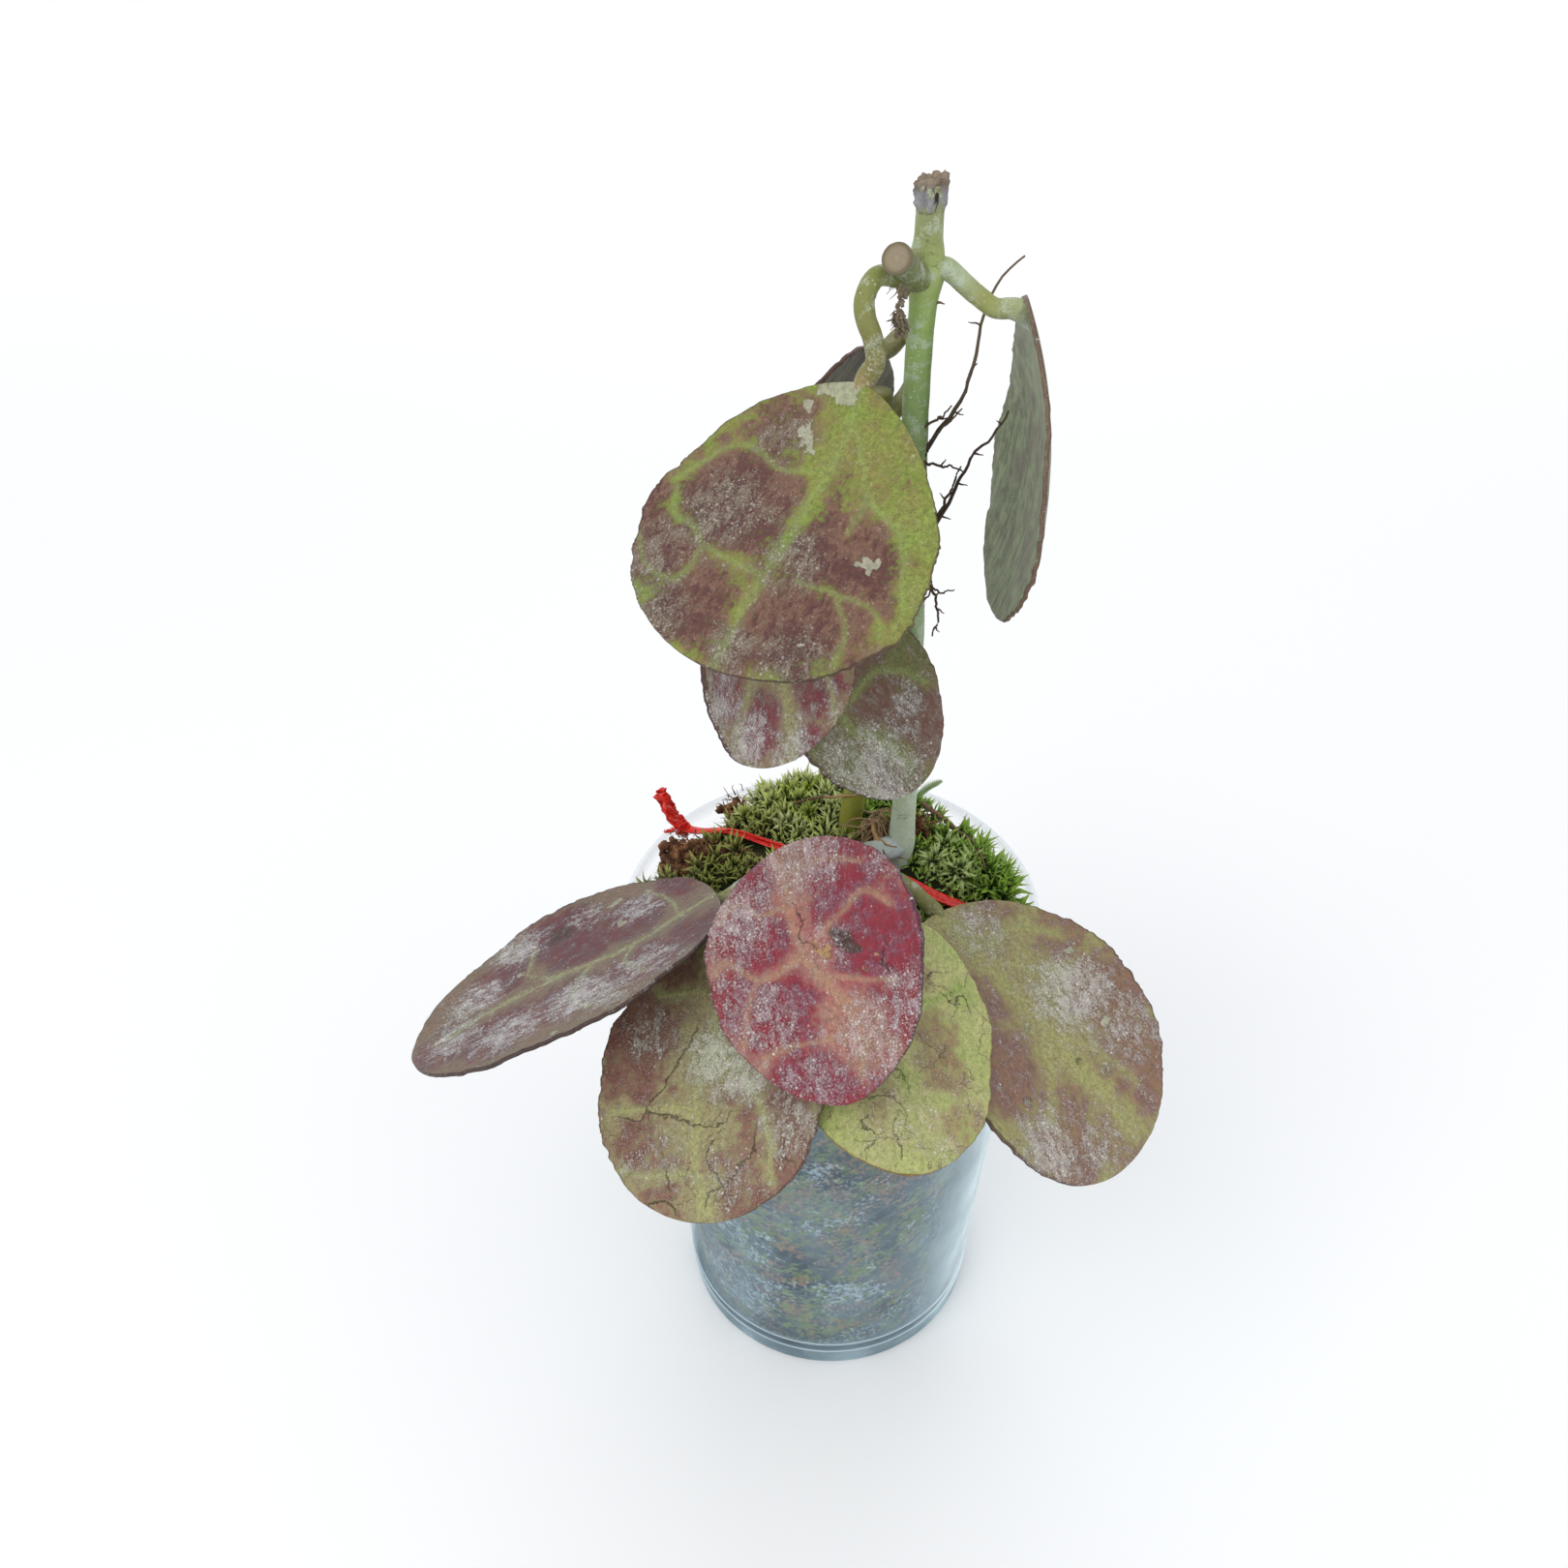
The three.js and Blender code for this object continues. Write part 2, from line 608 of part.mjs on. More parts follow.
function aerialRoots() {
  return [
    aerialRoot([[14, 4, 236], [16.6, 3, 239.8], [18.6, 3, 242.1], [22.1, 4, 244.9], [24.5, 6, 251.4],
      [27.2, 8, 259.5], [30, 10, 266.5], [33.8, 12, 271.1]], ROOT_RADIUS, 0.35),
    aerialRoot([[17.2, 3, 240.6], [18.4, 3.2, 244.2], [21.4, 3.4, 247.4]], 0.4, 0.35),
    aerialRoot([[14, 4.4, 218], [16.9, 4, 221.2], [20.8, 4, 225.3], [22.4, 4, 233.3], [23.5, 4, 236.3],
      [25.5, 4, 240.7], [28.7, 4, 243.8], [31.9, 4, 247.5]], ROOT_RADIUS + 0.1, 0.35),
    aerialRoot([[14, 4, 232.5], [18, 3, 233.2], [21, 2.8, 234.6], [24.6, 2.6, 236.6]], 0.4, 0.35),
    aerialRoot([[14, 4.6, 213.6], [16.3, 4, 212.7], [19.6, 4, 211.5], [20.8, 4, 207.1], [21.2, 4, 202.6],
      [20.4, 4, 199.6]], 0.45, 0.35),
  ];
}

function stemMain() {
  const stub = rod([[15.6, 4.6, 271], [13, 0.2, 274.6], [10.2, -5, 278.3]], [2.1, 2.2, 2.45], 9, 4);
  const shoot = rod([[16, 5, 143.5], [11, 0.5, 146.2], [3, -7, 151], [-6.5, -15, 156.5]],
    [2.6, 2.2, 2.1, 2.5], 8, 9);
  return joined([
    stemMainRod(),
    stub,
    shoot,
    petiole('leaf_top_left', [[15, 4, 271.5], [10.5, 1.5, 273.2], [7, -1.2, 274], [5.2, -3, 271.6],
      [5.2, -3.8, 268.6], [6.7, -4.2, 264.2], [7.1, -4.6, 260.8]], 'edge'),
    petiole('leaf_hanging_right', [[16, 5, 272.5], [19, 4.2, 273.4], [22, 3.6, 271.4], [25.1, 3, 268.8],
      [27.8, 2.2, 267.2]], 'under'),
    petiole('leaf_low_centre', [[-6.5, -15, 156.5], [-6.5, -20, 162]], 'under'),
    petiole('leaf_low_left', [[-5, -13.7, 155.6], [-11, -14.6, 156.3]], 'under'),
    petiole('leaf_low_front_left', [[-5.8, -14.4, 156], [-13, -17, 157.2], [-18.5, -22, 156]], 'edge'),
    petiole('leaf_low_front_right', [[2, -7.8, 151.5], [6, -13, 155], [9.4, -19.5, 156]], 'edge'),
    petiole('leaf_low_right', [[6.5, -3.7, 149], [12, -7.5, 146.4], [17.5, -8.4, 142.2]], 'edge'),
    ...aerialRoots(),
  ]);
}

function stemSecond() {
  const trunk = rod(STEM_SECOND_COURSE, [STEM_SECOND_RADIUS, STEM_SECOND_RADIUS, 2.6, 2.9, 2.5, 2.9, 2.5], 9, 16);
  return joined([
    trunk,
    petiole('leaf_top_back', [[9, 15.2, 240], [15, 19.5, 244.5], [18, 27, 248.5], [15.4, 31.5, 251.6]], 'edge'),
    petiole('leaf_middle_left', [[8.5, 15, 222], [-1, 10, 228], [-11, 2.5, 233.8], [-17.2, -2.6, 235]],
      'edge'),
    petiole('leaf_middle_right', [[7.6, 15, 206], [0, 12.5, 211.5], [-9.5, 7, 215.6], [-13, 2, 215.4]], 'edge'),
  ]);
}

place('pot', welded(cup()), material(0xb9c6cc, 0.35));
place('substrate', substrate(), material(0x4c4a3c, 0.95));
place('moss_mound', moss(), material(0x6c7f3f, 0.95));
place('twig', twig(), material(0x3a281c, 0.9));
place('tie_ribbon', tieRibbon(), material(0xd81e12, 0.45));
place('stem_main', stemMain(), material(0x7f9556, 0.6));
place('stem_second', stemSecond(), material(0x878a3c, 0.55));
for (const name of Object.keys(LEAVES)) {
  placeLeaf(name);
}

export default group;
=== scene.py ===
# %% [markdown]
# # A potted Hoya waymaniae cutting
#
# Two cut stems with ten round, leathery, mottled leaves stand in a mound of star moss,
# in a tall frosted plastic cup, with a strip of red raffia tied across the moss.
# This file dresses the plain solids of the part: each one is replaced by a finer surface
# of the same form, worked out with numpy, and given a material made of nodes.
# All lengths below are millimetres, and become metres only when a mesh is made.

# %% Load the frame
import math

import bpy
import numpy as np
from mathutils import Matrix


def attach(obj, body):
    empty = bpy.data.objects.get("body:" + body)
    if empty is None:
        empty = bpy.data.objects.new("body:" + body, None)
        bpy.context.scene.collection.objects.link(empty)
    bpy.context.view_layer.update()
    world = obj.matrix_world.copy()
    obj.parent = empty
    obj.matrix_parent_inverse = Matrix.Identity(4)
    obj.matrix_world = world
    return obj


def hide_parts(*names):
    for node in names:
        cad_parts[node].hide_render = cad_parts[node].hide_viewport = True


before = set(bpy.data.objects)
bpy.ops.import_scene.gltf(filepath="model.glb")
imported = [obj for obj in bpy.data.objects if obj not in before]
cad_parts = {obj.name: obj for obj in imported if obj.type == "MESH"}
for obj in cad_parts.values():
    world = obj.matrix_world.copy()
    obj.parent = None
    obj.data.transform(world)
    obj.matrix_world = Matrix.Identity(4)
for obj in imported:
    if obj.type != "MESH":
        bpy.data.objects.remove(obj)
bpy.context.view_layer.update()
MM = 0.001
print("solids:", sorted(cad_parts))

# %% [markdown]
# ## The camera
#
# The camera comes first, so that every later picture can be laid beside the photograph.
# The cup's rim and foot are circles of known size, and their ellipses in the picture
# give the camera's height, its tilt and its lens. It looks down on the plant from the front.

# %% Camera
CAMERA_PLACE = np.array([-10.0, -242.0, 359.0])
CAMERA_DOWN = math.radians(38.6)
CAMERA_LEAN = math.radians(-1.2)
PICTURE_WIDTH = 1620.0
FOCAL_PIXELS = 1500.0
SENSOR = 36.0


def camera_axes():
    """Right, up and forward: forward is level turned down by the tilt, and right and up
    are then turned about it by the lean."""
    forward = np.array([0.0, math.cos(CAMERA_DOWN), -math.sin(CAMERA_DOWN)])
    up = np.array([0.0, math.sin(CAMERA_DOWN), math.cos(CAMERA_DOWN)])
    right = np.array([1.0, 0.0, 0.0])
    leaned_right = math.cos(CAMERA_LEAN) * right + math.sin(CAMERA_LEAN) * up
    leaned_up = math.cos(CAMERA_LEAN) * up - math.sin(CAMERA_LEAN) * right
    return leaned_right, leaned_up, forward


def make_camera():
    """A camera looks along its own -Z, so its Z column is minus forward."""
    right, up, forward = camera_axes()
    data = bpy.data.cameras.new("camera")
    data.sensor_width = SENSOR
    data.lens = FOCAL_PIXELS / PICTURE_WIDTH * SENSOR
    data.clip_start = 0.01
    camera = bpy.data.objects.new("camera", data)
    bpy.context.scene.collection.objects.link(camera)
    turn = np.eye(4)
    turn[:3, 0] = right
    turn[:3, 1] = up
    turn[:3, 2] = -forward
    turn[:3, 3] = CAMERA_PLACE * MM
    camera.matrix_world = Matrix(turn.tolist())
    bpy.context.scene.camera = camera
    return camera


camera = make_camera()
print("lens", round(camera.data.lens, 2), "mm")

# %% [markdown]
# ## Helpers for shapes
#
# Four small tools make almost everything here: soft noise for irregular forms, a smooth
# curve through points, a tube carried along such a curve, and a function that turns
# arrays of points and faces into a Blender mesh with its attributes.

# %% Noise and steps
LATTICE = 128


def smooth(low, high, value):
    """A soft step from 0 at low to 1 at high: t * t * (3 - 2 t). With low above high it
    steps down instead."""
    t = np.clip((value - low) / (high - low), 0.0, 1.0)
    return t * t * (3.0 - 2.0 * t)


def around(sides):
    """Angles evenly spaced round a full circle."""
    return np.linspace(0, 2 * np.pi, sides, endpoint=False)


def unit(vectors):
    """Each vector divided by its own length."""
    return vectors / np.linalg.norm(vectors, axis=-1, keepdims=True)


def soft_noise(x, y, size, seed):
    """A random number on each corner of a square lattice, blended smoothly between the
    corners. It runs from 0 to 1 and its lumps are about as large as size."""
    table = np.random.default_rng(seed).random((LATTICE, LATTICE))
    u, v = np.asarray(x) / size, np.asarray(y) / size
    i, j = np.floor(u).astype(int), np.floor(v).astype(int)
    s, t = u - i, v - j
    s, t = s * s * (3 - 2 * s), t * t * (3 - 2 * t)
    i0, i1, j0, j1 = i % LATTICE, (i + 1) % LATTICE, j % LATTICE, (j + 1) % LATTICE
    low = table[i0, j0] * (1 - s) + table[i1, j0] * s
    high = table[i0, j1] * (1 - s) + table[i1, j1] * s
    return low * (1 - t) + high * t


def rough_noise(x, y, size, seed):
    """Three layers of soft noise, each half as large and half as strong as the last."""
    total = soft_noise(x, y, size, seed) * 4
    total = total + soft_noise(x, y, size / 2, seed + 1) * 2 + soft_noise(x, y, size / 4, seed + 2)
    return total / 7


# %% Curves and tubes
TUBE_REFERENCE = (0.31, 0.17, 0.93)


def smooth_path(points, count):
    """A centripetal Catmull-Rom curve through every point, spaced evenly by length."""
    p = np.asarray(points, float)
    p = np.vstack([2 * p[0] - p[1], p, 2 * p[-1] - p[-2]])
    knots = np.concatenate([[0], np.cumsum(np.linalg.norm(np.diff(p, axis=0), axis=1) ** 0.5)])
    t = np.linspace(knots[1], knots[-2], count * 8)
    i = np.clip(np.searchsorted(knots, t, side="right") - 1, 1, len(p) - 3)
    k0, k1, k2, k3 = (knots[i + n][:, None] for n in (-1, 0, 1, 2))
    p0, p1, p2, p3 = (p[i + n] for n in (-1, 0, 1, 2))
    t = t[:, None]
    a1 = ((k1 - t) * p0 + (t - k0) * p1) / (k1 - k0)
    a2 = ((k2 - t) * p1 + (t - k1) * p2) / (k2 - k1)
    a3 = ((k3 - t) * p2 + (t - k2) * p3) / (k3 - k2)
    b1 = ((k2 - t) * a1 + (t - k0) * a2) / (k2 - k0)
    b2 = ((k3 - t) * a2 + (t - k1) * a3) / (k3 - k1)
    curve = ((k2 - t) * b1 + (t - k1) * b2) / (k2 - k1)
    walked = np.concatenate([[0], np.cumsum(np.linalg.norm(np.diff(curve, axis=0), axis=1))])
    even = np.linspace(0, walked[-1], count)
    return np.stack([np.interp(even, walked, curve[:, axis]) for axis in range(3)], axis=1)


def path_frames(path, reference):
    """At each place of a path, two directions square to it: the reference direction with
    its part along the path taken away, and the one square to both."""
    reference = np.asarray(reference, float)
    along = unit(np.gradient(path, axis=0))
    first = unit(reference - (along @ reference)[:, None] * along)
    return first, np.cross(along, first)


def ring_faces(rows, sides, closed_ends=True):
    """Quads between neighbouring rings of points, and one face over each closed end."""
    i, j = np.meshgrid(np.arange(rows - 1), np.arange(sides), indexing="ij")
    a, b = i * sides + j, i * sides + (j + 1) % sides
    faces = np.stack([a, b, b + sides, a + sides], axis=-1).reshape(-1, 4).tolist()
    if closed_ends:
        first = np.arange(sides)
        faces.append(first[::-1].tolist())
        faces.append((first + (rows - 1) * sides).tolist())
    return faces


def tube(path, radii, sides):
    """Each ring is a circle square to the path: centre + radius (cos first + sin second).
    radii has one number per ring, or one per point of every ring."""
    first, second = path_frames(path, TUBE_REFERENCE)
    turn = around(sides)[:, None]
    radii = radii[:, None] if radii.ndim == 1 else radii
    ring = first[:, None] * np.cos(turn) + second[:, None] * np.sin(turn)
    points = path[:, None] + ring * radii[:, :, None]
    return points.reshape(-1, 3), ring_faces(len(path), sides)


def grown(pieces):
    """Several (points, faces) lists as one, each one's faces counted on from the last."""
    points, faces, start = [], [], 0
    for some_points, some_faces in pieces:
        points.append(some_points)
        faces.extend([[corner + start for corner in face] for face in some_faces])
        start += len(some_points)
    return np.vstack(points), faces


# %% Meshes


def make_piece(name, points, faces, material, replaces=(), attributes=None):
    """Puts points (in mm) and faces into a smooth mesh at the origin, adds one value or
    vector per point for each attribute, and hides the solids that the piece replaces."""
    mesh = bpy.data.meshes.new(name)
    mesh.from_pydata((np.asarray(points) * MM).tolist(), [], faces)
    mesh.validate()
    mesh.shade_smooth()
    for key, values in (attributes or {}).items():
        values = np.asarray(values, dtype=np.float32)
        kind, slot_name = ("FLOAT", "value") if values.ndim == 1 else ("FLOAT_VECTOR", "vector")
        layer = mesh.attributes.new(key, kind, "POINT")
        layer.data.foreach_set(slot_name, values.ravel())
    mesh.materials.append(material)
    piece = bpy.data.objects.new(name, mesh)
    bpy.context.scene.collection.objects.link(piece)
    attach(piece, "root")
    if replaces:
        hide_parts(*replaces)
    print(f"{name}: {len(mesh.vertices)} points, {len(mesh.polygons)} faces")


# %% [markdown]
# ## Helpers for materials
#
# A material is a sum, product or blend of patterns. The class below wraps a node's output,
# so that a pattern can be written as ordinary arithmetic, and every + or * adds a Math node.

# %% Shader arithmetic


class Pattern:
    """One output socket of a material's nodes, with Python's arithmetic."""

    def __init__(self, finish, socket):
        self.finish, self.socket = finish, socket

    def _maths(self, operation, first, second):
        node = self.finish.node("ShaderNodeMath", {"operation": operation}, {0: first, 1: second})
        return Pattern(self.finish, node.outputs[0])

    def __add__(self, other):
        return self._maths("ADD", self, other)

    __radd__ = __add__

    def __sub__(self, other):
        return self._maths("SUBTRACT", self, other)

    def __rsub__(self, other):
        return self._maths("SUBTRACT", other, self)

    def __mul__(self, other):
        return self._maths("MULTIPLY", self, other)

    __rmul__ = __mul__

    def between(self, low, high):
        """A soft step: 0 below low, 1 above high."""
        node = self.finish.node(
            "ShaderNodeMapRange", {"interpolation_type": "SMOOTHSTEP"}, {0: self, 1: low, 2: high})
        return Pattern(self.finish, node.outputs[0])

    def most(self, other):
        return self._maths("MAXIMUM", self, other)


class Finish:
    """A new material with a Principled shader, and one method that adds any node."""

    def __init__(self, name, **constants):
        self.material = bpy.data.materials.new(name)
        self.material.use_nodes = True
        self.tree = self.material.node_tree
        self.shader = self.tree.nodes["Principled BSDF"]
        for key, value in constants.items():
            self.shader.inputs[key.replace("_", " ")].default_value = value

    def feed(self, socket, value):
        if isinstance(value, Pattern):
            self.tree.links.new(value.socket, socket)
        elif isinstance(value, tuple) and len(value) == 3 and socket.type == "RGBA":
            socket.default_value = (*value, 1.0)
        else:
            socket.default_value = value

    def node(self, kind, settings=None, sockets=None):
        made = self.tree.nodes.new(kind)
        for key, value in (settings or {}).items():
            setattr(made, key, value)
        for key, value in (sockets or {}).items():
            self.feed(made.inputs[key], value)
        return made

    def attribute(self, name, vector=False):
        made = self.node("ShaderNodeAttribute", {"attribute_name": name})
        return Pattern(self, made.outputs["Vector" if vector else "Fac"])

    def place(self):
        """The point on the object, in mm."""
        made = self.node("ShaderNodeTexCoord")
        scaled = self.node("ShaderNodeVectorMath", {"operation": "SCALE"},
                           {0: Pattern(self, made.outputs["Object"]), "Scale": 1000.0})
        return Pattern(self, scaled.outputs[0])

    def stretched(self, where, x, y, z):
        made = self.node("ShaderNodeVectorMath", {"operation": "MULTIPLY"}, {0: where, 1: (x, y, z)})
        return Pattern(self, made.outputs[0])

    def noise(self, where, size, detail=2.0, rough=0.5, warp=0.0):
        """Cloudy noise from 0 to 1 with lumps about as large as size, in mm."""
        made = self.node("ShaderNodeTexNoise", None, {
            "Vector": where, "Scale": 1.0 / size, "Detail": detail, "Roughness": rough,
            "Distortion": warp})
        return Pattern(self, made.outputs[0])

    def cells(self, where, size, feature="F1"):
        """Distance to the nearest of scattered points, or to the nearest cell wall."""
        made = self.node("ShaderNodeTexVoronoi", {"feature": feature},
                         {"Vector": where, "Scale": 1.0 / size})
        return Pattern(self, made.outputs["Distance"])

    def warped(self, where, size, amount):
        """The place pushed about by colour noise, so that straight edges wander."""
        cloud = self.node("ShaderNodeTexNoise", None, {"Vector": where, "Scale": 1.0 / size})
        shift = self.node("ShaderNodeVectorMath", {"operation": "SCALE"},
                          {0: Pattern(self, cloud.outputs[1]), "Scale": amount})
        made = self.node("ShaderNodeVectorMath", {"operation": "ADD"},
                         {0: where, 1: Pattern(self, shift.outputs[0])})
        return Pattern(self, made.outputs[0])

    def blend(self, share, first, second):
        """First colour where share is 0, second where it is 1."""
        made = self.node("ShaderNodeMix", {"data_type": "RGBA", "clamp_factor": True},
                         {0: share, 6: first, 7: second})
        return Pattern(self, made.outputs[2])

    def set(self, colour=None, roughness=None, alpha=None, relief=None, height=0.1):
        """Feeds the shader. relief is a pattern, and height its full depth in mm."""
        if colour is not None:
            self.feed(self.shader.inputs["Base Color"], colour)
        if roughness is not None:
            self.feed(self.shader.inputs["Roughness"], roughness)
        if alpha is not None:
            self.feed(self.shader.inputs["Alpha"], alpha)
        if relief is not None:
            bump = self.node("ShaderNodeBump", None, {
                "Strength": 1.0, "Distance": height * MM, "Height": relief})
            self.feed(self.shader.inputs["Normal"], Pattern(self, bump.outputs[0]))
        return self.material


def paint(red, green, blue):
    """A colour as seen on a screen (0 to 255), turned into the light values that the
    shader works in."""
    seen = np.array([red, green, blue]) / 255.0
    light = np.where(seen <= 0.04045, seen / 12.92, ((seen + 0.055) / 1.055) ** 2.4)
    return tuple(float(part) for part in light)


# %% [markdown]
# ## The leaves' form
#
# Every blade is one formula with its own numbers: the midrib is an arc that leaves the
# petiole in some direction and curls, and the blade bends across it like a piece of a
# cylinder. The outline is a blunt oval. The margin is finely crinkled, as on the real
# leaf, so the surface has many rows along it.

# %% Blade formula
BLADE_EDGE_THICKNESS = 0.85
BLADE_RIB_THICKNESS = 1.25
BLADE_ROWS = 170
BLADE_COLUMNS = 72
BLADE_CROWDING = 0.82  # how far the columns crowd towards the margin, below 1
MARGIN_WAVE = 0.4
MARGIN_WAVES = 6

# base, length, width, (heading, drop, roll), curl, fold, forward, blunt
LEAVES = {
    "leaf_top_left": ((4.6, -6, 257.7), 56.5, 54.3, (-125, 35, 7), -2, 15, 1.23, 0.54),
    "leaf_top_back": ((10.8, 31.1, 248.4), 54, 46, (201, 44, -59), 14, 21, 1, 0.5),
    "leaf_middle_left": ((-17.2, -7.1, 231.7), 44.9, 38.4, (-69, 39, 26), 31, -30, 1.04, 0.5),
    "leaf_middle_right": ((-9.4, -2.4, 211.8), 44.8, 36, (-35, 37, -13), 18, -10, 0.91, 0.5),
    "leaf_hanging_right": ((33.2, 1.3, 269.1), 62, 48.8, (3, 69, -3), 45, 15, 1.26, 0.47),
    "leaf_low_left": ((-24.6, -20.2, 153.5), 69.6, 57.4, (204, 15, -23), 0.5, -8, 0.9, 0.54),
    "leaf_low_front_left": ((-21.1, -29.4, 151.7), 58.1, 50.1, (-101, 20, -19), 17, 1, 1.1, 0.49),
    "leaf_low_centre": ((-7, -27.5, 173.9), 52.3, 43.6, (-86, 19, -25), 23, -19, 0.93, 0.6),
    "leaf_low_front_right": ((10.1, -27.1, 153.1), 54.8, 44.8, (-89, 19, 11), -5, 30, 0.86, 0.55),
    "leaf_low_right": ((23.1, -13.2, 139.8), 65.7, 53.6, (-54, 12, 5), 28, -24, 1.01, 0.51),
}


def leaf_basis(heading, drop, roll):
    """Forward along the midrib, across, and out of the upper face: forward points to the
    heading and down by the drop, and the other two are rolled about it."""
    h, d, r = np.radians([heading, drop, roll])
    forward = np.array([np.cos(h) * np.cos(d), np.sin(h) * np.cos(d), -np.sin(d)])
    up = np.array([np.cos(h) * np.sin(d), np.sin(h) * np.sin(d), np.cos(d)])
    side = np.cross(up, forward)
    return forward, side * np.cos(r) - up * np.sin(r), up * np.cos(r) + side * np.sin(r)


def blade_surface(leaf, theta, q, seed):
    """Points of the upper face, the way out of it there, and the flat place (along the
    midrib, across it) for theta from 0 at the base to pi at the tip and q from -1 to 1."""
    base, length, width, angles, curl, fold, forward_share, blunt = leaf
    forward, across, normal = leaf_basis(*angles)
    curl, fold = np.radians([curl, fold])
    share = ((1 - np.cos(theta)) / 2) ** (1 / forward_share)
    teeth = soft_noise(theta * 16, np.sign(q) * 9 + seed, 1, seed) - 0.5
    teeth = teeth * 0.022 + 0.018 * (soft_noise(theta * 50, np.sign(q) * 9 + seed, 1, seed + 5) - 0.5)
    crinkle = 1 + 0.012 * np.sin(9 * theta + width) * np.sign(q) + teeth * np.abs(q) ** 6
    half = width / 2 * np.clip(np.sin(theta), 0, 1) ** (2 * blunt) * crinkle
    bent, bend_radius = curl * share, width / 2 / fold
    turn = q * half / bend_radius
    rise = -bend_radius * (1 - np.cos(turn))
    x = length / curl * np.sin(bent) + rise * np.sin(bent)
    y = bend_radius * np.sin(turn)
    z = -length / curl * (1 - np.cos(bent)) + rise * np.cos(bent)
    out = np.stack([np.sin(bent) * np.cos(turn), np.sin(turn), np.cos(bent) * np.cos(turn)], axis=-1)
    wave = MARGIN_WAVE * np.abs(q) ** 3 * np.sin(theta)
    wave = wave * np.sin(MARGIN_WAVES * theta + q * 1.7 + length)
    fine = (soft_noise(theta * 19, q * 3 + seed, 1, seed + 9) - 0.5) * 0.45
    fine = fine * np.abs(q) ** 8 * np.sin(theta) ** 0.5
    swell = (rough_noise(x + 50, y + 50, 9, seed + 3) - 0.5) * 0.35 * np.sin(theta)
    local = np.stack([x, y, z], axis=-1) + out * (wave + fine + swell)[..., None]
    axes = np.stack([forward, across, normal])
    flat = np.stack([length * share, q * half, np.zeros_like(q)], axis=-1)
    return np.asarray(base) + local @ axes, out @ axes, flat


def blade_shell(name, seed):
    """A closed skin: each row is a ring that crosses the upper face, passes the margin and
    comes back under it, and the rows close in one point at the base and one at the tip."""
    leaf = LEAVES[name]
    theta = np.pi * (np.arange(1, BLADE_ROWS) / BLADE_ROWS)
    q = np.sin(np.linspace(-np.pi / 2, np.pi / 2, BLADE_COLUMNS + 1) * BLADE_CROWDING)
    q = q / np.sin(np.pi / 2 * BLADE_CROWDING)
    grid_theta, grid_q = np.meshgrid(theta, q, indexing="ij")
    upper, out, flat = blade_surface(leaf, grid_theta, grid_q, seed)
    thickness = BLADE_EDGE_THICKNESS + (BLADE_RIB_THICKNESS - BLADE_EDGE_THICKNESS) * (1 - grid_q ** 2)
    lower = upper - out * thickness[..., None]
    rings = np.concatenate([upper, lower[:, ::-1]], axis=1)
    flats = np.concatenate([flat, flat[:, ::-1]], axis=1)
    under = np.concatenate([np.zeros_like(grid_q), np.ones_like(grid_q)], axis=1)
    ends, end_out, end_flat = blade_surface(leaf, np.array([0.0, np.pi]), np.array([0.0, 0.0]), seed)
    ends = ends - end_out * BLADE_EDGE_THICKNESS / 2
    rows, sides = rings.shape[:2]
    points = np.vstack([rings.reshape(-1, 3), ends])
    faces = ring_faces(rows, sides, closed_ends=False)
    j = np.arange(sides)
    faces += np.stack([np.full(sides, rows * sides), (j + 1) % sides, j], axis=1).tolist()
    last = (rows - 1) * sides
    faces += np.stack([np.full(sides, rows * sides + 1), last + j, last + (j + 1) % sides],
                      axis=1).tolist()
    flat_all = np.vstack([flats.reshape(-1, 3), end_flat])
    under_all = np.concatenate([under.ravel(), [0.5, 0.5]])
    span = np.abs(np.concatenate([grid_q, grid_q[:, ::-1]], axis=1)).ravel()
    return points, faces, flat_all, under_all, np.append(span, [1.0, 1.0])
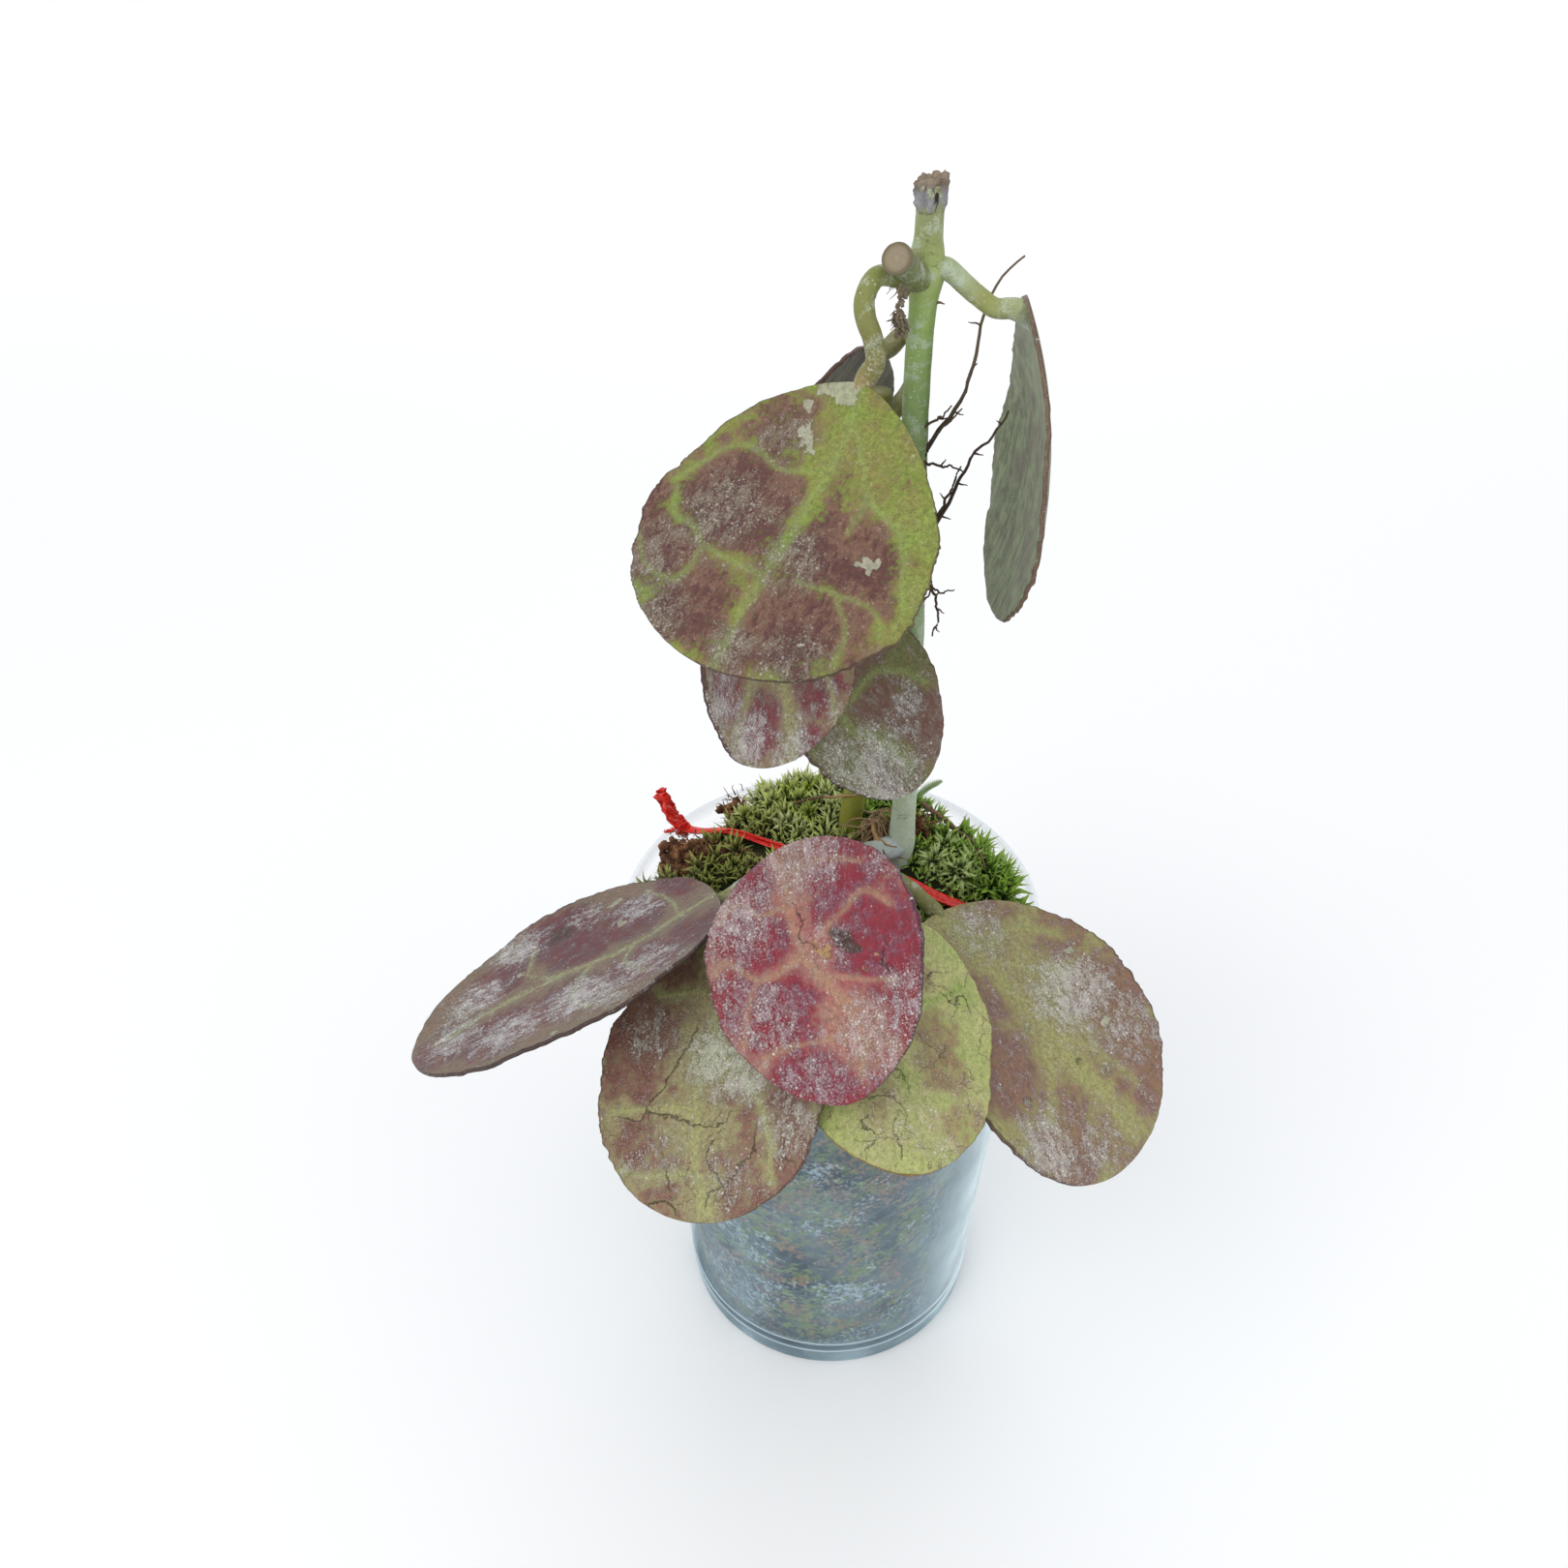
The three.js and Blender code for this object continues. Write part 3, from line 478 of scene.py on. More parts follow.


# %% [markdown]
# ## The leaves' markings
#
# The leaf is green where its veins run and flushed brown, purple or crimson between them,
# with pale dust and scale on top. Each leaf's main veins, flushed areas, dusty areas and
# spots are placed in its own flat measure: millimetres along the midrib from the
# base, and millimetres across. Noise breaks their edges, so that they look grown.

# %% Placed markings
# veins: a half width and a line of (along, across). cracks: such lines alone. bright, flush,
# dust, pale and dark: patches of (along, across, radius, strength).
MARKS = {
    "leaf_top_left": {
        "veins": [
            (1.1, [(0, 1), (15, 2), (30, 2), (45, 1), (56, 1)]),
            (0.7, [(17, 1), (19, -6), (17, -13), (21, -20), (27, -24)]),
            (0.7, [(39, 1), (38, -6), (37, -12), (34, -15), (33, -20), (28, -23)]),
            (0.7, [(37, -12), (44, -14), (43, -21), (38, -25)]),
            (0.8, [(8, 3), (15, 8), (20, 12), (23, 19), (31, 23), (38, 25)]),
            (0.6, [(19, 11), (26, 11)]),
            (0.6, [(37, 7), (37, 14), (36, 20), (41, 24)]),
            (0.6, [(37, 14), (42, 18), (48, 19)]),
        ],
        "flush": [(27, -10, 13, 1.1), (31, -22, 7, 0.9), (39, -19, 9, 1.1), (48, -9, 10, 1.0),
                  (13, -9, 8, 0.7), (22, 8, 7, 0.55), (33, 13, 12, 1.1), (46, 11, 11, 1.1),
                  (16, 14, 6, 0.35), (44, 21, 7, 0.9), (53, 3, 7, 0.9), (37, 4, 8, 0.8),
                  (53, -14, 6, 0.8), (24, -20, 5, 0.7), (28, 2, 5, 0.5)],
        "dust": [(30, -12, 8, 0.8), (34, 4, 6, 0.75), (51, -14, 6, 0.8), (50, 12, 6, 0.7),
                 (45, -20, 7, 0.7), (14, -8, 5, 0.7), (52, 2, 4, 0.9), (38, -20, 5, 0.6),
                 (28, -3, 4, 0.5)],
        "bright": [(8, 12, 5, 0.7), (20, 20, 5, 0.8), (31, 25, 4, 0.9), (42, 25, 4, 0.7),
                   (12, 0, 5, 0.4), (57, -7, 3.5, 0.8), (58, 1, 3, 0.8), (55, 10, 3.5, 0.7),
                   (50, 18, 3.5, 0.6), (50, -19, 3.5, 0.6), (41, -27, 3.5, 0.6)],
        "pale": [(2, -2.5, 3, 0.9), (3, -6, 1.8, 0.8), (7, -7, 1.2, 0.9), (11, -5.2, 1.3, 0.9),
                 (13, -4, 1.3, 0.8), (14.6, -2.6, 1, 0.8), (9.4, -5, 0.9, 0.7), (30, 16, 1.1, 1.2),
                 (31.4, 16.6, 0.6, 1.2), (29, 17.2, 0.6, 1.2), (28.8, 15, 0.6, 1.2),
                 (30.6, 14.6, 0.6, 1.2), (47, 12, 1, 0.5), (24.4, -12.6, 0.7, 0.6),
                 (49, -2, 0.7, 0.5)],
    },
    "leaf_low_centre": {
        "veins": [
            (1.5, [(3, -5), (14, -4), (24, -2), (31, 2), (40, 6), (48, 4)]),
            (0.8, [(13, -5), (14, -10), (11, -14), (14, -18)]),
            (0.9, [(24, -3), (26, -12), (22, -17), (24, -20)]),
            (0.8, [(26, -12), (31, -15), (38, -17)]),
            (0.8, [(40, 4), (40, -5), (41, -13), (44, -16)]),
            (0.7, [(7, -4), (6, 5), (9, 12)]),
            (0.9, [(22, -1), (17, 7), (15, 12), (19, 17)]),
            (0.8, [(28, 0), (31, 8), (33, 15)]),
        ],
        "flush": [(12, 8, 10, 1.1), (18, -12, 9, 1.1), (28, -17, 7, 1), (34, -9, 10, 1.1),
                  (25, 13, 11, 1.1), (48, -6, 10, 1.1), (40, 17, 8, 1.1), (5, 4, 6, 0.6),
                  (7, -12, 7, 0.8), (34, 10, 7, 0.8), (50, 7, 8, 0.9)],
        "bright": [(39, 4, 7, 1), (13, -3, 5, 0.6), (23, 1, 5, 0.5), (46, 10, 4, 0.7)],
        "dust": [(34, -13, 8, 0.65), (48, -6, 8, 0.5), (38, 17, 7, 0.75), (14, -16, 9, 0.9),
                 (4, 0, 9, 0.9), (10, 17, 5, 0.6), (42, 8, 8, 0.75), (28, -20, 6, 0.6),
                 (22, 2, 6, 0.4)],
        "pale": [(24, 2, 1.4, 0.8), (22.6, 0.4, 0.8, 0.6), (29, 9, 0.9, 0.7), (27, 11.6, 0.7, 0.7)],
        "cracks": [[(14, -3), (17, -2), (20, -3), (22, -1)], [(26, 14), (29, 13), (31, 15)]],
        "dark": [(20.8, 4.6, 1.3, 0.9), (22.4, 6, 1.6, 1), (24.2, 7.2, 1.5, 1), (25.6, 8.6, 1, 0.8),
                 (19, -5.4, 1, 0.4)],
    },
    "leaf_low_left": {
        "veins": [
            (1.1, [(0, 0), (10, 2), (20, 3), (28, 2), (38, -1), (50, -2), (64, 0)]),
            (0.3, [(9, 1), (9, -8), (12, -18)]),
            (0.3, [(20, 3), (23, 9), (21, 18)]),
            (0.3, [(38, -2), (42, -10), (39, -18)]),
            (0.3, [(30, 2), (35, 12), (33, 22)]),
        ],
        "flush": [(33, -18, 10, 1), (18, -9, 9, 0.9), (30, -6, 7, 1), (20, 14, 9, 0.9),
                  (36, 12, 9, 0.8), (48, -12, 8, 0.8), (50, 10, 10, 0.8), (62, 3, 8, 0.7),
                  (8, 12, 7, 0.8), (8, -12, 7, 0.8)],
        "dust": [(20, 15, 8, 0.8), (34, 14, 8, 1), (48, 12, 8, 0.9), (54, -10, 7, 0.9),
                 (60, 2, 7, 0.8), (16, -12, 6, 0.8), (42, -22, 6, 1), (28, 21, 6, 0.8),
                 (26, -20, 4, 0.7)],
        "pale": [(19, -19, 1.4, 0.9), (20, -9, 1.6, 0.7), (44, -11, 1.1, 1), (41, 25, 1.2, 0.8)],
        "dark": [(33, -18, 3.5, 0.6), (47, -8, 2.5, 0.4)],
    },
    "leaf_low_front_left": {
        "veins": [
            (2.2, [(3, -4), (14, -1), (25, 0), (36, -2), (46, -1), (56, 1)]),
            (0.8, [(13, -2), (14, -14)]),
            (0.7, [(38, -3), (37, -12), (38, -21)]),
            (0.7, [(49, -2), (50, -10), (49, -18)]),
            (0.7, [(25, 1), (33, 9), (41, 14), (50, 15)]),
        ],
        "flush": [(22, -17, 9, 1), (10, -10, 7, 0.7), (33, 6, 5, 0.7), (32, -17, 8, 0.8),
                  (44, -11, 9, 0.75), (38, 14, 9, 0.8), (50, 9, 8, 0.7), (47, 20, 7, 0.9),
                  (54, -8, 6, 0.7), (36, -9, 5, 0.6)],
        "dust": [(27, 1, 6, 1), (30, 8, 6, 1.0), (22, -14, 6, 0.5), (40, 18, 6, 0.6),
                 (50, 7, 5, 0.5), (46, -10, 6, 0.4)],
        "bright": [(28, 0, 7, 0.8), (40, -2, 6, 1), (53, 0, 5, 0.8), (38, -9, 4, 0.5)],
        "pale": [(50, 14, 0.6, 0.8), (49, -17, 1.3, 0.6)],
        "cracks": [[(20, -4), (26, -6), (31, -9), (35, -12), (39, -14), (39, -20)],
                   [(38, -13), (39, -6), (40, 2), (38, 6)],
                   [(42, 3), (45, 1.5), (49, 3), (51, 5), (48, 8), (45, 11), (41, 11.5)],
                   [(51, 5), (53, 2), (56, 1)], [(46, -9), (50, -7), (53, -6)],
                   [(56, -12), (55, -7), (57, -4)], [(42, 18), (45, 17), (47, 19)]],
        "dark": [(50, -3, 1, 0.2)],
    },
    "leaf_low_front_right": {
        "veins": [
            (1.2, [(3, 0), (20, -1), (36, 1)]),
            (0.5, [(20, 0), (19, 8), (14, 16)]),
        ],
        "bright": [(16, 16, 6, 0.9), (26, 20, 5, 0.9), (34, 21, 4, 0.6), (42, -15, 5, 0.9),
                   (34, -14, 6, 0.7), (46, -10, 4, 0.5)],
        "flush": [(25, 9, 6.5, 0.6), (33, 10, 5.5, 0.7), (45, 13, 6, 0.5), (38, -4, 4, 0.4),
                  (43, -6, 3, 0.5), (14, 6, 4, 0.4), (29, 18, 4, 0.35), (22, 2, 5, 0.4)],
        "dust": [(38, 13, 6, 0.35), (50, 8, 4, 0.7), (30, 4, 7, 0.3), (42, 1, 8, 0.55),
                 (46, -4, 6, 0.45)],
        "pale": [(49.5, 3, 0.8, 0.6), (47, 1, 1.4, 0.35)],
        "cracks": [[(16, 10), (18, 13), (17, 16), (20, 18)],
                   [(38, -10), (40, -6), (39, -2), (42, 0)],
                   [(43, -1), (46, -2), (49, -1), (52, -2)], [(30, -6), (33, -4), (34, 0), (37, 1)],
                   [(50, -8), (47, -6), (45, -8), (42, -7)], [(12, 12), (13, 9), (15, 8)]],
    },
    "leaf_low_right": {
        "veins": [
            (2.6, [(2, -1), (15, 1), (30, 3), (45, 5), (60, 8)]),
            (1.2, [(33, 3), (42, -2), (50, -9)]),
            (1, [(14, 2), (20, 7), (24, 12)]),
            (0.9, [(12, 3), (12, 12), (18, 19)]),
            (0.9, [(36, 4), (44, 11), (52, 14)]),
        ],
        "flush": [(36, -14, 10, 1), (48, -4, 7, 0.7), (50, 18, 10, 0.9), (34, 20, 9, 0.9),
                  (18, 20, 7, 0.7), (8, 9, 6, 0.5), (56, -10, 9, 0.9), (22, -6, 7, 0.6),
                  (60, 4, 7, 0.6), (10, -8, 6, 0.5)],
        "dust": [(30, 13, 9, 0.95), (8, 5, 6, 0.7), (54, -13, 8, 0.9), (42, 19, 7, 0.6),
                 (60, 0, 7, 0.5)],
        "pale": [(22, 19, 1.2, 0.8), (47, 10, 1.8, 0.45), (32, -1, 1.2, 0.6), (39, 16, 1, 1)],
        "dark": [(43, 5, 0.9, 0.7), (44, -11.5, 1.3, 0.6)],
    },
    "leaf_middle_left": {
        "veins": [
            (1.6, [(0, 0), (14, 1), (28, 3), (44, 5)]),
            (0.8, [(24, 2), (32, -6), (40, -10)]),
            (0.8, [(18, 1), (28, 12), (36, 14)]),
            (0.6, [(12, 1), (12, -12)]),
        ],
        "flush": [(37, -2, 6, 1), (31, 11, 6, 1), (30, -11, 6, 0.9), (16, -9, 8, 1), (16, 10, 8, 1),
                  (42, 9, 5, 0.8)],
        "dust": [(31, -13, 6, 0.9), (39, -6, 6, 0.9), (42, 4, 6, 0.6), (20, -8, 7, 0.5),
                 (34, 15, 4, 0.5)],
    },
    "leaf_middle_right": {
        "veins": [
            (1.6, [(0, 0), (14, -3), (26, -6), (34, -1), (40, 1)]),
            (0.8, [(22, -4), (22, 8), (30, 14)]),
        ],
        "flush": [(24, 3, 7, 0.9), (33, 8, 7, 0.9), (14, 8, 7, 0.9), (38, 10, 6, 1),
                  (12, -9, 7, 0.8), (40, -3, 6, 0.7)],
        "dust": [(38, -6, 9, 1), (31, -12, 6, 0.8), (30, 8, 3.5, 0.9), (34, 2, 5, 0.5)],
    },
    "leaf_hanging_right": {
        "veins": [
            (1.4, [(0, 0), (30, 0), (60, 0)]),
            (0.7, [(14, 0), (26, 14)]),
            (0.7, [(14, 0), (26, -14)]),
        ],
        "flush": [(30, 0, 16, 0.8), (16, 12, 9, 0.8), (44, -8, 9, 0.8)],
        "dust": [(30, 14, 9, 0.5), (44, 10, 8, 0.5)],
    },
    "leaf_top_back": {
        "veins": [
            (1.4, [(0, 0), (26, 0), (50, 0)]),
            (0.7, [(12, 0), (24, 14)]),
            (0.7, [(12, 0), (24, -14)]),
        ],
        "flush": [(26, 10, 10, 0.9), (26, -10, 10, 0.9), (42, 0, 9, 0.9)],
        "dust": [(20, 8, 8, 0.5)],
    },
}


def distance_to_line(x, y, line, signed=False):
    """The shortest distance from each point to a chain of straight pieces. Signed, it is
    negative to the right of the chain, so that a thin line can be drawn where it is 0."""
    nearest, side = np.full(np.shape(x), 1e9), np.ones(np.shape(x))
    for (ax, ay), (bx, by) in zip(line[:-1], line[1:]):
        dx, dy = bx - ax, by - ay
        t = np.clip(((x - ax) * dx + (y - ay) * dy) / (dx ** 2 + dy ** 2), 0, 1)
        distance = np.hypot(x - ax - t * dx, y - ay - t * dy)
        turn = np.where(dx * (y - ay) - dy * (x - ax) < 0, -1.0, 1.0)
        side = np.where(distance < nearest, turn, side)
        nearest = np.minimum(nearest, distance)
    return nearest * side if signed else nearest


def rounded_line(line, count=24):
    """The smooth curve through a flat line's points."""
    return smooth_path([(x, y, 0.0) for x, y in line], count)[:, :2].tolist()


def placed_marks(name, flat, seed):
    """For each point of a blade, how much vein, flush, dust, pale scale and dark spot it
    has, and how far it is from a crack. A glow surrounds the veins and the bright patches.
    Each placed mark fades outwards from its middle, on a place pushed about by noise."""
    marks = MARKS[name]
    x, y = flat[:, 0], flat[:, 1]
    x_moved = x + 3.2 * (rough_noise(x + 90, y + 90, 6, seed) - 0.5)
    y_moved = y + 3.2 * (rough_noise(x + 50, y + 150, 6, seed + 4) - 0.5)
    vein, glow = np.zeros_like(x), np.zeros_like(x)
    for half_width, line in marks["veins"]:
        distance = distance_to_line(
            x_moved * 0.6 + x * 0.4, y_moved * 0.6 + y * 0.4, rounded_line(line))
        half_width = 0.2 + 0.45 * half_width * (0.6 + 0.8 * soft_noise(x + 20, y + 60, 5, seed + 9))
        vein = np.maximum(vein, np.exp(-((distance / half_width) ** 2)))
        glow = np.maximum(glow, np.exp(-((distance / (half_width * 1.5 + 1.1)) ** 2)))
    crack, crack_near = np.full_like(x, 9.0), np.zeros_like(x)
    for line in marks.get("cracks", []):
        distance = distance_to_line(x, y, rounded_line(line, 40), signed=True)
        from_ends = np.minimum(*(np.hypot(x - line[n][0], y - line[n][1]) for n in (0, -1)))
        crack = np.where(np.abs(distance) < np.abs(crack), distance, crack)
        near = smooth(2.2, 0.9, np.abs(distance)) * smooth(0.2, 1.6, from_ends)
        crack_near = np.maximum(crack_near, near)

    ragged_x = x + 2.6 * (rough_noise(x + 70, y + 30, 1.9, seed + 7) - 0.5)
    ragged_y = y + 2.6 * (rough_noise(x + 30, y + 70, 1.9, seed + 8) - 0.5)

    def pools(key, edge):
        total = np.zeros_like(x)
        at_x, at_y = ragged_x, ragged_y
        if key != "pale":
            at_x, at_y = 0.5 * (x_moved + ragged_x), 0.5 * (y_moved + ragged_y)
        for along, across, radius, strength in marks.get(key, []):
            distance = np.hypot(at_x - along, at_y - across) / radius
            total = np.maximum(total, strength * (1 - smooth(1 - edge, 1 + edge, distance)))
        return total

    return {
        "vein": vein,
        "glow": np.maximum(glow, 1.9 * pools("bright", 0.7)),
        "crack": np.clip(crack, -6, 6),
        "crack_near": crack_near,
        "flush": pools("flush", 0.45),
        "dust": pools("dust", 0.6),
        "pale": pools("pale", 0.3),
        "dark": pools("dark", 0.5),
    }


# %% [markdown]
# ## The leaves' finish
#
# One recipe serves every leaf, with its own colours. From the bottom up it lays the ground
# colour, the flush between the veins, the veins, a dark crinkled margin, thin cracks, and
# then chalky dust, specks and scale, which also take the shine away. The underside has its
# own pale colour, with long fibres.

# %% Leaf finish
# Each leaf's colours in the order of the layers, and then its shares of dust, cracks and veins.
LEAF_LAYERS = ("ground", "second", "flush", "flush_two", "vein", "rim", "under", "chalk")
LEAF_COLOURS = {
    "leaf_top_left": [(120, 138, 54), (134, 122, 66), (88, 44, 48), (116, 82, 68), (132, 150, 80),
                      (70, 44, 38), (112, 116, 84), (138, 134, 120)],
    "leaf_top_back": [(88, 88, 56), (70, 66, 48), (74, 56, 50), (86, 66, 56), (110, 112, 70),
                      (84, 48, 44), (104, 100, 76), (150, 148, 136)],
    "leaf_middle_left": [(146, 124, 98), (150, 138, 100), (126, 50, 66), (120, 84, 82),
                         (160, 156, 106), (70, 38, 46), (112, 104, 84), (208, 204, 202)],
    "leaf_middle_right": [(108, 114, 66), (118, 100, 70), (106, 68, 60), (112, 90, 78),
                          (122, 134, 74), (72, 46, 48), (112, 108, 84), (180, 180, 174)],
    "leaf_hanging_right": [(116, 120, 88), (98, 104, 74), (96, 76, 70), (118, 100, 96),
                           (132, 142, 104), (104, 74, 64), (154, 166, 126), (178, 184, 168)],
    "leaf_low_left": [(120, 96, 80), (116, 106, 84), (100, 42, 50), (92, 62, 66), (146, 152, 108),
                      (56, 36, 38), (112, 104, 84), (206, 204, 204)],
    "leaf_low_front_left": [(156, 152, 106), (142, 124, 94), (128, 90, 78), (116, 70, 62),
                            (162, 164, 104), (72, 46, 38), (116, 112, 80), (198, 200, 186)],
    "leaf_low_centre": [(150, 118, 102), (174, 88, 86), (134, 30, 50), (122, 62, 80),
                        (176, 144, 108), (72, 34, 52), (128, 96, 84), (184, 172, 172)],
    "leaf_low_front_right": [(156, 168, 98), (188, 182, 124), (152, 124, 90), (136, 112, 86),
                             (128, 158, 62), (116, 82, 34), (128, 128, 84), (208, 200, 156)],
    "leaf_low_right": [(150, 147, 94), (144, 130, 92), (132, 98, 80), (126, 96, 88), (156, 158, 98),
                       (74, 46, 42), (116, 110, 78), (200, 198, 190)],
}
LEAF_SHARES = {
    "leaf_top_left": dict(dusty=0.42, salt=0.5, cracks=0.0, veining=0.5),
    "leaf_top_back": dict(dusty=0.3, cracks=0.0, veining=0.6),
    "leaf_middle_left": dict(dusty=0.55, cracks=0.2, veining=0.8),
    "leaf_middle_right": dict(dusty=0.5, cracks=0.1, veining=0.75),
    "leaf_hanging_right": dict(dusty=0.4, cracks=0.0, veining=0.6),
    "leaf_low_left": dict(dusty=0.34, salt=1.2, cracks=0.15, veining=0.7),
    "leaf_low_front_left": dict(dusty=0.6, cracks=0.35, veining=0.65),
    "leaf_low_centre": dict(scab=(146, 116, 76), dusty=0.5, cracks=0.25, veining=0.5),
    "leaf_low_front_right": dict(dusty=0.45, cracks=0.9, veining=0.6),
    "leaf_low_right": dict(dusty=0.5, cracks=0.1, veining=0.5),
}


def leaf_finish(name, seed):
    """Layers a leaf's colours, from the ground to the dust."""
    look = dict(scab=(146, 146, 126), salt=1.0) | dict(zip(LEAF_LAYERS, LEAF_COLOURS[name]))
    look |= LEAF_SHARES[name]
    look = {key: paint(*value) if isinstance(value, tuple) else value for key, value in look.items()}
    finish = Finish(name, Specular_IOR_Level=0.35)
    shift = finish.node("ShaderNodeVectorMath", {"operation": "ADD"}, {
        0: finish.attribute("flat", vector=True), 1: (seed * 37.0, seed * 11.0, 0.0)})
    flat = Pattern(finish, shift.outputs[0])
    vein, glow, flush, dust = (finish.attribute(key) for key in ("vein", "glow", "flush", "dust"))
    pale, dark, under, margin = (finish.attribute(key) for key in ("pale", "dark", "under", "margin"))
    cloud, blot, grain, fine, streak = (
        finish.noise(where, size, detail, rough, warp).between(0.3, 0.7)
        for where, size, detail, rough, warp in [
            (flat, 9, 3, 0.6, 0.0), (flat, 3.4, 4, 0.65, 0.3), (flat, 1.0, 4, 0.7, 0.0),
            (flat, 0.4, 3, 0.7, 0.0), (finish.stretched(flat, 0.6, 1, 1), 1.5, 5, 0.75, 0.4)])

    ground = finish.blend(cloud * 0.7 + blot * 0.3, look["ground"], look["second"])
    flushed = (flush + (blot - 0.5) * 0.6 + (cloud - 0.5) * 0.25 + (grain - 0.5) * 0.6
               + (fine - 0.5) * 0.3 - glow * 0.5)
    flush_colour = finish.blend((blot * 0.5 + streak * 0.6 + (cloud - 0.5) * 0.5).between(0.3, 0.75),
                                look["flush"], look["flush_two"])
    colour = finish.blend(flushed.between(0.1, 0.75) * 0.95, ground, flush_colour)
    veined = (glow * 0.3 + vein * 0.75 + (grain - 0.5) * 0.4 + (blot - 0.5) * 0.35).between(0.2, 1.0)
    colour = finish.blend(veined * look["veining"], colour, look["vein"])
    colour = finish.blend((margin + (grain - 0.5) * 0.3).between(0.62, 0.98) * 0.8, colour, look["rim"])
    mottled = finish.node("ShaderNodeVectorMath", {"operation": "SCALE"}, {
        0: colour, "Scale": 1.02 + (grain - 0.5) * 0.48 + (fine - 0.5) * 0.46 + (streak - 0.5) * 0.24})
    colour = Pattern(finish, mottled.outputs[0])

    line = (finish.attribute("crack") + (grain - 0.5) * 0.35 + (blot - 0.5) * 1.1
            + (cloud - 0.5) * 0.8)
    placed = (1 - line.most(0 - line).between(0.06, 0.22)) * finish.attribute("crack_near")
    walls = finish.cells(finish.warped(flat, 3, 5.0), 11, "DISTANCE_TO_EDGE")
    wandering = (1 - walls.between(0.002, 0.01)) * finish.noise(flat, 9).between(0.44, 0.52)
    crack = placed.most(wandering * look["cracks"] * 0.8)
    colour = finish.blend(crack * 0.68, colour, paint(70, 52, 34))
    colour = finish.blend((dark + (grain - 0.5) * 0.6).between(0.25, 0.8) * 0.8, colour,
                          paint(46, 44, 32))

    dusty = dust * 0.85 + look["dusty"] * 0.45 + (blot - 0.5) * 0.45 + (cloud - 0.5) * 0.2
    haze = (dusty + (streak - 0.5) * 0.9 + (fine - 0.5) * 0.5).between(0.35, 1.3)
    colour = finish.blend(haze * 0.62, colour, look["chalk"])
    salt = finish.noise(flat, 0.4, 2, 0.6).between(0.55, 0.66)
    salt = salt * (dusty + (grain - 0.5) * 0.6).between(0.3, 1.0)
    specks = 1 - finish.cells(flat, 1.5).between(0.08, 0.24)
    specks = specks * (dusty + (grain - 0.5) * 0.9).between(0.2, 0.8)
    dots = 1 - finish.cells(finish.stretched(flat, 1, 1, 1.7), 0.8).between(0.1, 0.28)
    dots = dots * (dusty + (blot - 0.5) * 0.9).between(0.3, 0.9)
    chalk = (salt * 0.8).most(specks * 0.95).most(dots * 0.65) * look["salt"]
    colour = finish.blend(chalk * 0.86, colour, paint(222, 220, 210))
    scale = (pale + (grain - 0.5) * 0.5 + (fine - 0.5) * 0.2).between(0.34, 0.58)
    scab = finish.blend(grain, look["scab"], tuple(1.7 * part for part in look["scab"]))
    colour = finish.blend(scale * 0.78, colour, scab)

    fibres = finish.noise(finish.stretched(flat, 0.07, 1.0, 1), 1.0, 4, 0.75)
    below = finish.blend((fibres + (blot - 0.5) * 0.2).between(0.36, 0.64), look["under"],
                         tuple(0.5 * part for part in look["under"]))
    below = finish.blend((flush * 0.4 + (cloud - 0.5)).between(0.1, 0.6) * 0.5, below,
                         look["flush_two"])
    below = finish.blend(haze * 0.4, below, paint(170, 176, 160))
    below = finish.blend(veined * 0.4, below, look["vein"])
    below = finish.blend((margin + (grain - 0.5) * 0.3).between(0.7, 1.0) * 0.8, below, look["rim"])
    colour = finish.blend(under.between(0.45, 0.55), colour, below)

    powder = haze.most(chalk).most(scale)
    roughness = 0.48 + powder * 0.35 + (grain - 0.5) * 0.1
    relief = grain * 0.3 + fine * 0.2 + powder * 0.5 - crack * 1.6 - veined * 0.35
    return finish.set(colour=colour, roughness=roughness, relief=relief, height=0.25)


MARK_SEED = 40
for number, leaf_name in enumerate(LEAVES):
    shell, shell_faces, shell_flat, shell_under, shell_span = blade_shell(leaf_name, number + 3)
    shell_marks = placed_marks(leaf_name, shell_flat, MARK_SEED + number)
    from_tip = np.minimum(shell_flat[:, 0], LEAVES[leaf_name][1] - shell_flat[:, 0])
    shell_marks["margin"] = np.maximum(smooth(0.955, 1.0, shell_span), 1 - smooth(0.0, 0.6, from_tip))
    shell_marks["under"] = shell_under
    shell_marks["flat"] = shell_flat
    make_piece(leaf_name + "_blade", shell, shell_faces, leaf_finish(leaf_name, number + 1),
               replaces=[leaf_name], attributes=shell_marks)

# %% [markdown]
# ## The cup
#
# The cup is thin frosted plastic, turned round one axis, with two rounded rings near its
# foot and a rolled lip. A profile carried round a circle gives the whole wall, inside and
# out, in one closed skin. Frosted plastic lets a veiled picture of the soil through, so
# its finish is half see-through and milky, with faint scuffs. Its flanks are milkier and
# paler as a painted sheen, stronger on the right side, and the rings and the lip carry
# thin painted highlights.

# %% Cup shape
CUP_FOOT_RADIUS = 37.7
CUP_WALL_FOOT_RADIUS, CUP_WALL_FOOT_Z = 38.1, 11.0
CUP_WALL_TOP_RADIUS, CUP_WALL_TOP_Z = 46.8, 127.5
CUP_WALL = 1.2
CUP_FLOOR = 1.6
CUP_LIP_RADIUS = 47.6
CUP_HEIGHT = 131.0


def wall_radius(z):
    """The wall widens evenly from its foot to its top."""
    slope = (CUP_WALL_TOP_RADIUS - CUP_WALL_FOOT_RADIUS) / (CUP_WALL_TOP_Z - CUP_WALL_FOOT_Z)
    return CUP_WALL_FOOT_RADIUS + slope * (z - CUP_WALL_FOOT_Z)


